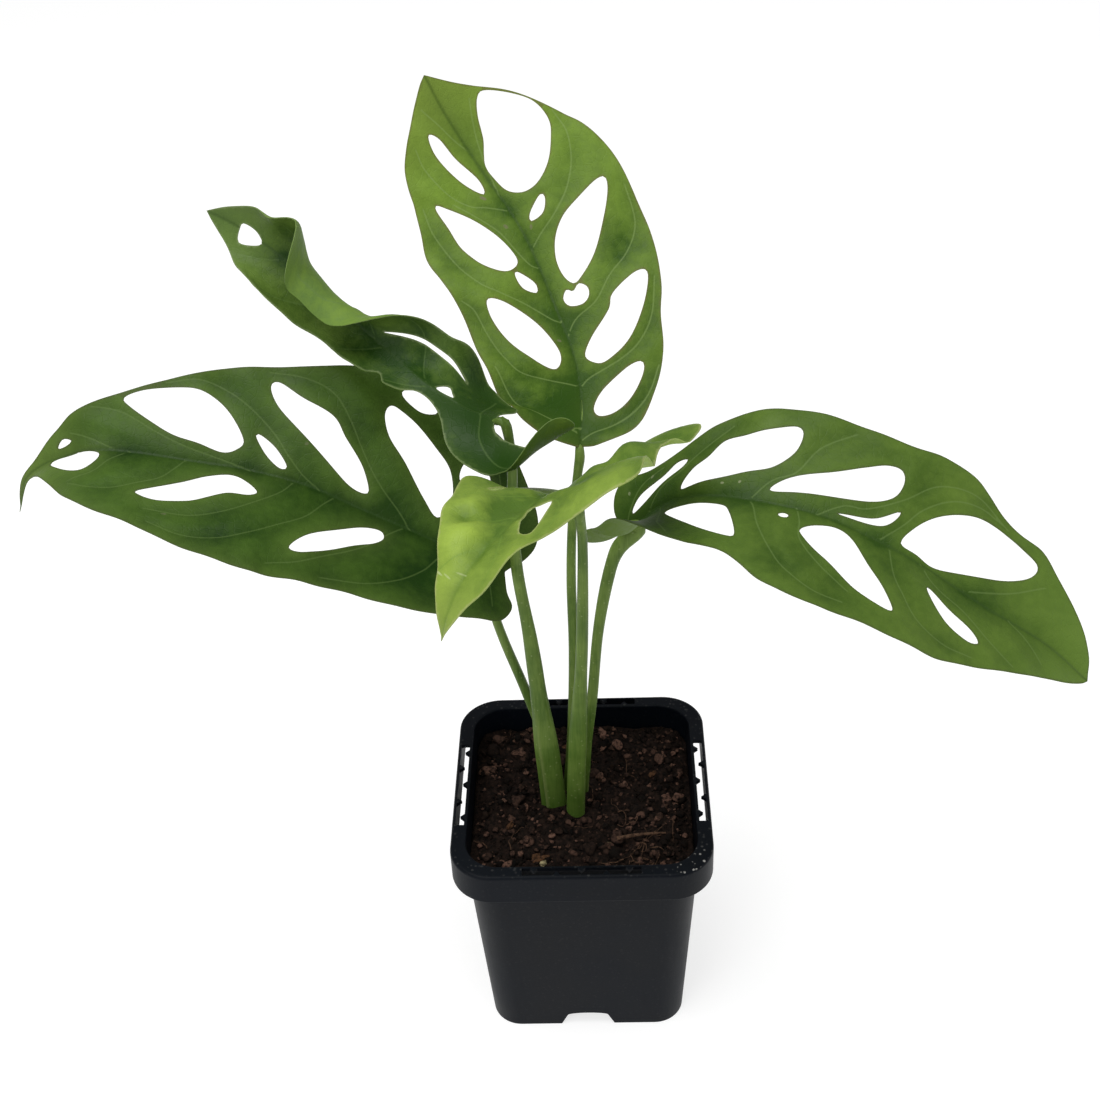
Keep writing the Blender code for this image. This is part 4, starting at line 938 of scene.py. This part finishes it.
# What all stalks share, in millimetres. "intoRib" is the run that is sunk into the midrib. The
# dent and the lip of the sheath and the swell under the blade are pairs of height and width.
petiole = {
    "sides": 24,
    "step": 1.3,
    "foot": 66.0,
    "footTop": 78.0,
    "wayFrom": 79.0,
    "run": 3.0,
    "gap": 0.4,
    "intoRib": 16.0,
    "underBlade": 2.2,
    "behind": 1.1,
    "swell": (0.12, 3.5),
    "swellBefore": 3.0,
    "dent": (0.42, 0.12),
    "lip": (0.1, 0.1),
    "lipAt": 0.72,
    "lipPaint": 0.06,
    "green": (108, 130, 60),
    "dark": (56, 84, 22),
    # footShade is painted shade, the stalk darker near the soil
    "footShade": (56, 84, 24),
    "sheathEdge": (142, 146, 98),
    "speck": (150, 160, 110),
}


def tubeFaces(rings, sides, first=0):
    # the two ends and the sides of a tube of rings of points
    last = first + (rings - 1) * sides
    ends = [tuple(range(first, first + sides))[::-1], tuple(range(last, last + sides))]
    around = []
    for low in range(first, last, sides):
        for side in range(sides):
            after = (side + 1) % sides
            around.append((low + side, low + after, low + sides + after, low + sides + side))
    return ends, around


def stalkMaterial():
    material, paint = newMaterial("leaf_stalks")
    along, _, rim = paint.stored("stalk").parts()
    place = paint.place()
    streak = place.scaled(1400, 1400, 60).noise(1.0, 3.0, 0.6)
    blotch = place.noise(70, 3.0, 0.6).step(0.3, 0.7)
    speck = place.cells(520).step(0.1, 0.22)
    share = ((streak - 0.5) * 0.9 + blotch * 0.5 + 0.25).clamped()
    colour = share.mix(linear(*petiole["dark"]), linear(*petiole["green"]))
    # the green darkens towards the foot: painted shade near the soil
    for amount, key in ((along.step(0.0, 0.3, 0.8, 0.0), "footShade"), (rim * 0.8, "sheathEdge"),
                        ((1 - speck) * 0.3, "speck")):
        colour = amount.mix(colour, linear(*petiole[key]))
    return finish(material, colour, (blotch - 0.5) * 0.12 + 0.42, streak * 0.7 + speck * 0.3, 0.0001, 0.5,
                  **{"Specular IOR Level": 0.16})


def stalkWay(name):
    # the stalk's middle line from the soil into the blade, and the length before the blade
    leaf, stalk = leaves[name], stalks[name]
    x, y = stalk["foot"]
    step = petiole["step"]
    low = np.array([(x, y, z) for z in np.linspace(petiole["foot"], petiole["footTop"], 9)])
    if stalk["meets"] == "edge":
        point, along, normal, _ = spineFrame(leaf, np.array([0.0]))
        arrive, start = unit(np.array(stalk["arrives"])), 0.0
        end = point[0] - normal[0] * petiole["behind"] - along[0] * petiole["gap"]
    else:
        point, _, normal, _ = spineFrame(leaf, np.array([stalk["meets"]]))
        end, arrive, start = point[0] - normal[0] * petiole["gap"], normal[0], stalk["meets"]
    bends = [(x, y, petiole["wayFrom"]), *stalk["way"], end - arrive * petiole["run"], end]
    rise = smoothCurve(bends, False, 12)
    reach = np.arange(start, start + petiole["intoRib"], step)[2:]
    point, _, normal, _ = spineFrame(leaf, reach)
    share = (reach - start) / petiole["intoRib"]
    inside = point - normal * (0.3 + petiole["underBlade"] * (1 - share) ** 0.7)[:, None]
    turn = smoothCurve([rise[-8], rise[-1] - arrive * 0.5, inside[1], inside[3]], False, 8)[8:]
    way = np.vstack([low, evenSteps(np.vstack([rise[:-8], turn, inside[4:]]), False, step)])
    lengths = lengthsAlong(way)
    return way, lengths, lengths[-1] - petiole["intoRib"]


def makeStalk(name):
    stalk = stalks[name]
    way, lengths, bladeAt = stalkWay(name)
    share = np.clip(lengths / bladeAt, 0, 1)
    beyond = np.clip((lengths - bladeAt + 1.5) / (petiole["intoRib"] - 1), 0, 1)
    shrink = (1 - beyond) ** 0.7 * 0.94 + 0.06
    halves = [eased(stalk[key], share) * shrink / 2 for key in ("width", "depth")]
    swell = 1 + raised(lengths - bladeAt + petiole["swellBefore"], petiole["swell"])
    direction = unit(np.gradient(way, axis=0))
    wide = unit(np.cross(np.cross(direction, [1.0, 0.0, 0.0]), direction))
    deep = np.cross(direction, wide)
    clasp, opens = stalk["sheath"]
    sheath = np.clip(1 - share / clasp, 0, 1) ** 0.6
    sides = petiole["sides"]
    points, values = [], []
    for index, place in enumerate(way):
        for angle in np.arange(sides) * 2 * math.pi / sides:
            off = math.cos(angle - math.radians(opens))
            lip = off - petiole["lipAt"]
            push = sheath[index] * (raised(lip, petiole["lip"]) - raised(1 - off, petiole["dent"]))
            reach = (1 + push) * swell[index]
            points.append(place + reach * (wide[index] * math.cos(angle) * halves[0][index]
                                           + deep[index] * math.sin(angle) * halves[1][index]))
            values.append((share[index], angle, sheath[index] * raised(lip, (1, petiole["lipPaint"]))))
    ends, around = tubeFaces(len(way), sides)
    thing = makeMesh(name + "_stalk", points, [ends[0], *around, ends[1]], [stalkMaterial()], 60)
    addValues(thing, "stalk", values)
    settle(thing, "stalk", name + "_leaf_stalk")


for stalkName in stalks:
    makeStalk(stalkName)


# The pot, of thin moulded plastic. Sizes in millimetres are those of its solid. "eases" round
# the rings of its profile, from the pad round to the floor; "dustAt" is in metres.
pot = {
    "rimHalf": 42.5, "rimCorner": 14.0, "height": 85.0, "skirt": 11.4, "plate": 1.3, "mouthDepth": 3.0,
    "openingHalf": 37.4, "openingCorner": 11.0, "wall": 1.1, "footHalf": 33.2, "footCorner": 10.0,
    "floor": 8.5, "floorThickness": 1.4, "pad": 9.0,
    "eases": (0, 0, 0, 0.3, 0.4, 0.4, 0.5, 0.3, 0.35, 1.2, 0.8, 0, 0),
    "notchWidth": 18.6, "notchTop": 14.0, "notchHeight": 6.4, "notchEase": 1.2, "notchReach": 4.0,
    "slotLength": 38.0, "slotInner": 38.5, "slotOuter": 41.4, "slotDepth": 4.0, "slotOver": 2.0, "tooth": 1.7,
    "drainRadius": 3.4, "drainRing": 20.0, "drainSides": 32, "drainUnder": 5.0, "drainOver": 3.0,
    "cornerSteps": 16, "sideSteps": 12, "sharp": 35,
    "black": (3, 6, 12), "worn": (11, 17, 25), "dust": (150, 148, 144), "dustAt": (0.037, -0.039),
}


def squareLoop(half, corner):
    # a square with round corners and points along its sides, anticlockwise
    loop = []
    for quarter in range(4):
        start = quarter * math.pi / 2
        centre = np.array([math.cos(start + math.pi / 4), math.sin(start + math.pi / 4)])
        centre *= (half - corner) * math.sqrt(2)
        for step in range(pot["cornerSteps"] + 1):
            angle = start + step / pot["cornerSteps"] * math.pi / 2
            loop.append(centre + corner * np.array([math.cos(angle), math.sin(angle)]))
        last = loop[-1]
        run = 2 * (half - corner) * np.array([math.cos(start + math.pi), math.sin(start + math.pi)])
        loop += [last + run * step / pot["sideSteps"] for step in range(1, pot["sideSteps"])]
    return np.array(loop)


def bodyHalf(z):
    return pot["footHalf"] + (pot["openingHalf"] + pot["wall"] - pot["footHalf"]) * z / pot["height"]


def bodyCorner(z):
    return pot["footCorner"] + (pot["openingCorner"] + pot["wall"] - pot["footCorner"]) * z / pot["height"]


def roundTurn(profile, place, radius, steps):
    # rounds the corner at one place of a list of (half width, corner radius, height)
    corner = np.array(profile[place])
    start, end = (corner + away * min(0.45, radius / np.linalg.norm(away[[0, 2]]))
                  for away in (np.array(profile[place + step]) - corner for step in (-1, 1)))
    shares = (step / steps for step in range(steps + 1))
    return [tuple(start * (1 - t) ** 2 + corner * 2 * t * (1 - t) + end * t * t) for t in shares]


def potProfile():
    # from the middle of the pad under the pot round to its floor
    wall, height = pot["wall"], pot["height"]
    under = height - pot["plate"]
    ceiling = pot["floor"] - pot["floorThickness"]
    inside = under - pot["mouthDepth"]
    rim, corner = pot["rimHalf"], pot["rimCorner"]
    sharp = [
        (pot["pad"], pot["pad"], 0.0),
        (pot["pad"], pot["pad"], ceiling),
        (bodyHalf(ceiling) - wall, bodyCorner(ceiling) - wall, ceiling),
        (pot["footHalf"] - wall, pot["footCorner"] - wall, 0.0),
        (pot["footHalf"], pot["footCorner"], 0.0),
        (bodyHalf(under), bodyCorner(under), under),
        (rim - wall, corner - wall, under),
        (rim - wall, corner - wall, height - pot["skirt"]),
        (rim, corner, height - pot["skirt"]),
        (rim, corner, height),
        (pot["openingHalf"], pot["openingCorner"], height),
        (bodyHalf(inside) - wall, bodyCorner(inside) - wall, inside),
        (bodyHalf(pot["floor"]) - wall, bodyCorner(pot["floor"]) - wall, pot["floor"]),
    ]
    profile = []
    for place, ease in enumerate(pot["eases"]):
        profile += roundTurn(sharp, place, ease, 6 if ease > 0.5 else 3) if ease else [sharp[place]]
    return profile


def turned(points, quarter):
    east, north = [(1, 0), (0, 1), (-1, 0), (0, -1)][quarter]
    points = np.asarray(points, float)
    spun = points.copy()
    spun[:, 0] = points[:, 0] * east - points[:, 1] * north
    spun[:, 1] = points[:, 0] * north + points[:, 1] * east
    return spun


def slotOutline():
    # a rim slot on the right side, with small teeth on its long edges
    half, inner, outer, tooth = pot["slotLength"] / 2, pot["slotInner"], pot["slotOuter"], pot["tooth"]

    def pointed(edge, middle, root, reach):
        return [(edge, middle + root), (edge + reach, middle), (edge, middle - root)]

    outline = [(inner, -half), (outer, -half)]
    for middle in (-half / 2.4, half / 2.4):
        outline += pointed(outer, middle, -tooth * 0.7, -tooth)
    outline += [(outer, half), (inner, half)]
    for middle in (half / 1.25, 0.0, -half / 1.25):
        outline += pointed(inner, middle, tooth * 0.7, tooth * 0.8)
    return outline


def notchSection():
    half, spring = pot["notchWidth"] / 2, pot["notchHeight"] - pot["notchEase"]
    arch = [(pot["notchTop"] / 2 * math.cos(angle), spring + pot["notchEase"] * math.sin(angle))
            for angle in np.linspace(0, math.pi, 15)]
    return [(-half, -1.0), (half, -1.0), (half, 0.0), *arch, (-half, 0.0)]


def drainOutline():
    centre = pot["drainRing"] / math.sqrt(2)
    return [(centre + pot["drainRadius"] * math.cos(angle), centre + pot["drainRadius"] * math.sin(angle))
            for angle in np.arange(pot["drainSides"]) * 2 * math.pi / pot["drainSides"]]


def makeCutter(name, first, second):
    # a prism between two outlines, used to cut and then removed
    ends, around = tubeFaces(2, len(first))
    return makeMesh(name, list(first) + list(second), ends + around, [])


def cutAway(thing, cutters):
    for cutter in cutters:
        modifier = thing.modifiers.new(cutter.name, "BOOLEAN")
        modifier.operation = "DIFFERENCE"
        modifier.solver = "EXACT"
        modifier.object = cutter
    shape = thing.evaluated_get(bpy.context.evaluated_depsgraph_get())
    mesh = bpy.data.meshes.new_from_object(shape)
    thing.modifiers.clear()
    thing.data = mesh
    for cutter in cutters:
        bpy.data.objects.remove(cutter)


def potMaterial():
    material, paint = newMaterial("black_pot_plastic")
    place = paint.place()
    cloud = place.noise(24, 3.0, 0.55).step(0.3, 0.7)
    streak = place.scaled(900, 900, 60).noise(1.0, 3.0, 0.6)
    grain = place.noise(2600, 2.0, 0.6)
    speck = 1 - place.cells(620).step(0.2, 0.34)
    patch = place.noise(420, 2.0, 0.6).step(0.42, 0.55)
    east, north, _ = place.parts()
    offEast, offNorth = east - pot["dustAt"][0], north - pot["dustAt"][1]
    corner = (1 - (offEast * offEast + offNorth * offNorth) * 12000).clamped()
    dust = speck * patch * (paint.facingUp().step(0.5, 0.95) * (corner * 1.1 + 0.06) + 0.012)
    colour = (cloud * 0.5 + (grain - 0.5) * 0.5).clamped().mix(linear(*pot["black"]), linear(*pot["worn"]))
    colour = dust.clamped().mix(colour, linear(*pot["dust"]))
    roughness = (cloud - 0.5) * 0.1 + (streak - 0.5) * 0.08 + 0.46 + dust * 0.3
    return finish(material, colour, roughness, grain * 0.6 + streak * 0.4, 0.00008, 0.5,
                  **{"Specular IOR Level": 0.1})


def makePot():
    profile = potProfile()
    points = [(x, y, z) for half, corner, z in profile for x, y in squareLoop(half, corner)]
    ends, around = tubeFaces(len(profile), len(points) // len(profile))
    thing = makeMesh("nursery_pot", points, [*around, *ends], [potMaterial()], pot["sharp"])
    cutters = []
    for quarter in range(4):
        cuts = [("slot", slotOutline(), pot["height"] - pot["slotDepth"], pot["height"] + pot["slotOver"]),
                ("drain", drainOutline(), pot["floor"] - pot["drainUnder"], pot["floor"] + pot["drainOver"])]
        notch = [[(pot["footHalf"] + reach, across, z) for across, z in notchSection()]
                 for reach in (-pot["notchReach"], pot["notchReach"])]
        cutters.append(makeCutter("notch", *(turned(outline, quarter) for outline in notch)))
        for name, outline, *levels in cuts:
            spun = turned(outline, quarter)
            cutters.append(makeCutter(name, *([(x, y, z) for x, y in spun] for z in levels)))
    cutAway(thing, cutters)
    thing.data.shade_smooth()
    thing.data.set_sharp_from_angle(angle=math.radians(pot["sharp"]))
    even = thing.modifiers.new("even_shading", "WEIGHTED_NORMAL")
    even.keep_sharp = True
    even.weight = 100
    settle(thing, "pot", "pot")


makePot()


# Potting mix: a lumpy bed with grains, bark, a twig and root fibres on it, in millimetres.
# "lumpRise" is a share of the lump's size, "waves" are (length, height), "grains" are (count,
# least size, largest size) and "chips" (x, y, size, stretch, kind), where kind 1 is bark and
# 3 is pale.
soil = {
    "top": 77.0,
    "outlineStep": 1.2,
    "gridStep": 0.85,
    "gridClear": 0.6,
    "wallGap": 0.25,
    "grainGap": 1.2,
    "skirtLevels": (60.0, 35.0, 8.8),
    "lumps": 240,
    "lumpSize": (1.0, 3.2),
    "lumpRise": (-0.27, 0.45),
    "waves": ((1.1, 0.11), (0.5, 0.09)),
    "seed": 11,
    "grains": [(40, 1.7, 2.7), (360, 0.8, 1.6), (1500, 0.3, 0.8)],
    "chips": [(-14.5, -27, 2.4, (1.5, 0.7, 0.5), 1.0), (-12.5, -29, 1.2, (1, 0.8, 0.6), 3.0),
              (9, -21.5, 1.1, (1.2, 0.8, 0.6), 3.0), (-24, -12, 1.3, (1.4, 0.6, 0.5), 1.0),
              (24, 10, 1.4, (1.3, 0.7, 0.5), 1.0), (-6, 24, 1.5, (1.5, 0.6, 0.5), 1.0)],
    "rough": 0.42,
    "chipRough": 0.35,
    "twig": [(11.5, -21, 79.4), (17, -20.4, 80.2), (23, -19.5, 80.0), (27.5, -18.6, 79.2)],
    "twigRadius": 0.75,
    "fibres": 34,
    "fibreRadius": (0.12, 0.26),
    "fibreStep": 0.9,
    "dark": (5, 4, 4),
    "brown": (29, 21, 16),
    # lit is painted light on the tops of grains and clods
    "lit": (150, 112, 96),
    "bark": (84, 58, 40),
    "root": (88, 66, 52),
    "pale": (166, 154, 118),
    # gap is painted shade in the crevices between crumbs
    "gap": (8, 6, 5),
}


def soilHeight(x, y):
    height = 0.5 * np.sin(x / 6.1 + 1.0) * np.cos(y / 5.3) + 0.35 * np.sin(x / 3.3 - y / 4.1 + 2.0)
    height += 1.1 * np.exp(-((x + 3) ** 2 + y ** 2) / 160)
    edge = np.maximum(np.abs(x), np.abs(y)) / (bodyHalf(soil["top"]) - pot["wall"])
    return soil["top"] + height - 7 * np.clip(edge - 0.8, 0, 1)


def soilMaterial():
    material, paint = newMaterial("potting_mix")
    topLight, light, kind = paint.stored("tint").parts()
    place = paint.place()
    crumb = place.noise(900, 4.0, 0.7)
    clump = place.noise(180, 3.0, 0.6).step(0.3, 0.7)
    facing = paint.facingUp()
    # upward faces are painted a little lighter: painted light from above
    share = (clump * 0.25 + (crumb - 0.5) * 0.9 + light * 0.55 + facing.step(0.2, 1.0) * 0.12).clamped()
    colour = share.mix(linear(*soil["dark"]), linear(*soil["brown"]))
    # topLight with the upward facing paints the lit colour on tops: painted light
    for amount, key in (((topLight * facing.step(0.0, 0.9) * 0.55).clamped(), "lit"),
                        (kind.step(0.4, 0.6), "bark"), (kind.step(1.4, 1.6), "root"),
                        # gap is painted shade in the crevices, where the crumb noise is low
                        (kind.step(2.4, 2.6), "pale"), (crumb.step(0.36, 0.56, 0.75, 0.0), "gap")):
        colour = amount.mix(colour, linear(*soil[key]))
    return finish(material, colour, (crumb - 0.5) * 0.2 + 0.88, crumb, 0.0004, 0.9,
                  **{"Specular IOR Level": 0.1})


def nearStalk(x, y, margin):
    for stalk in stalks.values():
        wide, deep = (stalk[key][0][1] / 2 + margin for key in ("width", "depth"))
        if math.hypot((x - stalk["foot"][0]) / wide, (y - stalk["foot"][1]) / deep) < 1:
            return True
    return False


def soilBed():
    # the lumpy top with a skirt down to the pot's floor
    draw = random.Random(soil["seed"])
    half = bodyHalf(soil["top"]) - pot["wall"] - soil["wallGap"]
    square = squareLoop(half, bodyCorner(soil["top"]) - pot["wall"])
    outline = evenSteps(square, True, soil["outlineStep"])
    grid = hexGrid((-half, -half), (half, half), soil["gridStep"])
    keep = insideLoop(grid, outline) & (awayFrom(grid, outline) > soil["gridClear"])
    flat, triangles = triangulate(outline, [], [], grid[keep])
    x, y = flat.T
    height = soilHeight(x, y)
    for _ in range(soil["lumps"]):
        east, north = draw.uniform(-half, half), draw.uniform(-half, half)
        radius = draw.uniform(*soil["lumpSize"])
        bump = np.clip(1 - ((x - east) ** 2 + (y - north) ** 2) / radius ** 2, 0, 1)
        height += np.sqrt(bump) * radius * draw.uniform(*soil["lumpRise"])
    for size, tall in soil["waves"]:
        for _ in range(5):
            angle, phase = draw.uniform(0, math.pi), draw.uniform(0, 6.28)
            height += tall * np.sin((x * math.cos(angle) + y * math.sin(angle)) / size + phase)
    points = np.stack([x, y, height], 1).tolist()
    faces = [tuple(map(int, face)) for face in triangles]
    following = dict(edgeOfSheet(triangles))
    loop = [next(iter(following))]
    while following[loop[-1]] != loop[0]:
        loop.append(following[loop[-1]])
    previous = loop
    for z in soil["skirtLevels"]:
        shrink = (bodyHalf(z) - pot["wall"] - soil["wallGap"]) / half
        ring = list(range(len(points), len(points) + len(loop)))
        points += [(flat[index][0] * shrink, flat[index][1] * shrink, z) for index in loop]
        for side in range(len(loop)):
            after = (side + 1) % len(loop)
            faces.append((previous[after], previous[side], ring[side], ring[after]))
        previous = ring
    faces.append(tuple(previous)[::-1])
    # the first share of each tint is how much painted light its top gets
    tints = [(draw.uniform(0, 0.12), draw.uniform(0, 0.35), 0.0) for _ in points]
    return points, faces, tints, flat, height


def ball(detail):
    # the points and triangles of a round ball
    golden = (1 + 5 ** 0.5) / 2
    points = []
    for a, b in ((1, golden), (-1, golden), (1, -golden), (-1, -golden)):
        points += [(a, b, 0), (0, a, b), (b, 0, a)]
    points = unit(np.array(points, float))
    faces = []
    apart = np.linalg.norm(points[:, None] - points[None], axis=2)
    side = apart[apart > 0.1].min() * 1.05
    for i, j, k in itertools.combinations(range(12), 3):
        if max(apart[i, j], apart[j, k], apart[i, k]) < side:
            out = np.cross(points[j] - points[i], points[k] - points[i]) @ points[i] > 0
            faces.append((i, j, k) if out else (i, k, j))
    for _ in range(detail):
        points = list(map(tuple, points))
        halfway, finer = {}, []

        def middle(a, b):
            key = (min(a, b), max(a, b))
            if key not in halfway:
                halfway[key] = len(points)
                points.append(tuple((np.array(points[a]) + np.array(points[b])) / 2))
            return halfway[key]

        for a, b, c in faces:
            ab, bc, ca = middle(a, b), middle(b, c), middle(c, a)
            finer += [(a, ab, ca), (b, bc, ab), (c, ca, bc), (ab, bc, ca)]
        points, faces = unit(np.array(points)), finer
    return points, faces


def addGrain(draw, store, shape, place, size, stretch, tint, rough):
    # a crumb: a ball pushed in and out by a few waves, squashed and turned
    points, faces = shape
    bumps = [(unit(np.array([draw.gauss(0, 1) for _ in range(3)])), draw.uniform(-1, 1)) for _ in range(6)]
    push = np.ones(len(points))
    for way, much in bumps:
        push += rough * much * np.clip(points @ way, 0, 1) ** 2
    for way, much in bumps[:3]:
        push += rough * 0.4 * np.sin(5 * (points @ way) + much * 5)
    shaped = points * push[:, None] * size * np.array(stretch)
    turn = Matrix.Rotation(draw.uniform(0, 6.28), 3, "Z") @ Matrix.Rotation(draw.uniform(-0.5, 0.5), 3, "X")
    shaped = shaped @ np.array(turn).T + np.array(place)
    first = len(store[0])
    store[0].extend(shaped.tolist())
    store[1].extend(tuple(first + corner for corner in face) for face in faces)
    store[2].extend([tint] * len(points))


def addFibre(store, line, radius, tint, sides=5):
    line = np.asarray(line, float)
    direction = unit(np.gradient(line, axis=0))
    across = unit(np.cross(direction, [0.3, 0.2, 1.0]))
    above = np.cross(direction, across)
    ends, around = tubeFaces(len(line), sides, len(store[0]))
    for index, place in enumerate(line):
        taper = radius * (1 - 0.6 * index / len(line))
        for angle in np.arange(sides) * 2 * math.pi / sides:
            off = across[index] * math.cos(angle) + above[index] * math.sin(angle)
            store[0].append((place + taper * off).tolist())
            store[2].append(tint)
    store[1].extend([*around, *ends])


def makeSoil():
    draw = random.Random(soil["seed"] + 1)
    points, faces, tints, flat, height = soilBed()
    store = (points, faces, tints)
    half = bodyHalf(soil["top"]) - pot["wall"] - soil["grainGap"]
    large, small = ball(2), ball(1)

    def ground(x, y):
        return float(height[np.argmin((flat[:, 0] - x) ** 2 + (flat[:, 1] - y) ** 2)])

    for count, least, most in soil["grains"]:
        shape = large if most > 2 else small
        for _ in range(count):
            size = draw.uniform(least, most) * draw.uniform(0.7, 1.0)
            x, y = (draw.uniform(-half + size, half - size) for _ in range(2))
            # the first share is painted light on the grain's top, more for large grains
            tint = (draw.random() ** (1.5 if least > 1.2 else 4) * 0.9, draw.uniform(0, 1), 0.0)
            stretch = (draw.uniform(0.8, 1.25), draw.uniform(0.75, 1.1), draw.uniform(0.6, 0.95))
            z = ground(x, y) + size * (0.1 + 0.3 * draw.random())
            if not nearStalk(x, y, size + 0.3):
                addGrain(draw, store, shape, (x, y, z), size, stretch, tint, soil["rough"])
    for x, y, size, stretch, kind in soil["chips"]:
        place = (x, y, ground(x, y) + size * 0.3)
        addGrain(draw, store, large, place, size, stretch, (0, 0.5, kind), soil["chipRough"])
    addFibre(store, smoothCurve(soil["twig"], False, 6), soil["twigRadius"], (0.4, 0.6, 1.6), 8)
    for _ in range(soil["fibres"]):
        x, y = (draw.uniform(-half + 3, half - 3) for _ in range(2))
        if draw.random() < 0.45:
            x, y = draw.uniform(12, 30), draw.uniform(-31, -18)
        heading, bend = draw.uniform(0, 6.28), draw.uniform(-0.5, 0.5)
        line = []
        for step in range(draw.randint(6, 16)):
            line.append((x, y, ground(x, y) + 0.5 + 0.9 * math.sin(step * 0.7 + bend * 6) ** 2))
            x = min(max(x + math.cos(heading) * soil["fibreStep"], -half), half)
            y = min(max(y + math.sin(heading) * soil["fibreStep"], -half), half)
            heading += bend * 0.5 + draw.uniform(-0.35, 0.35)
        if not any(nearStalk(px, py, 0.4) for px, py, _ in line):
            addFibre(store, line, draw.uniform(*soil["fibreRadius"]), (0.2, draw.random(), 2.0))
    thing = makeMesh("potting_mix", points, faces, [soilMaterial()], 80)
    addValues(thing, "tint", tints)
    settle(thing, "soil", "potting_soil")


makeSoil()

sizes = [[list(corner) for corner in box] for box in (cadBox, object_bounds())]
say("box of the solids %s, box of the looks %s" % tuple(sizes))
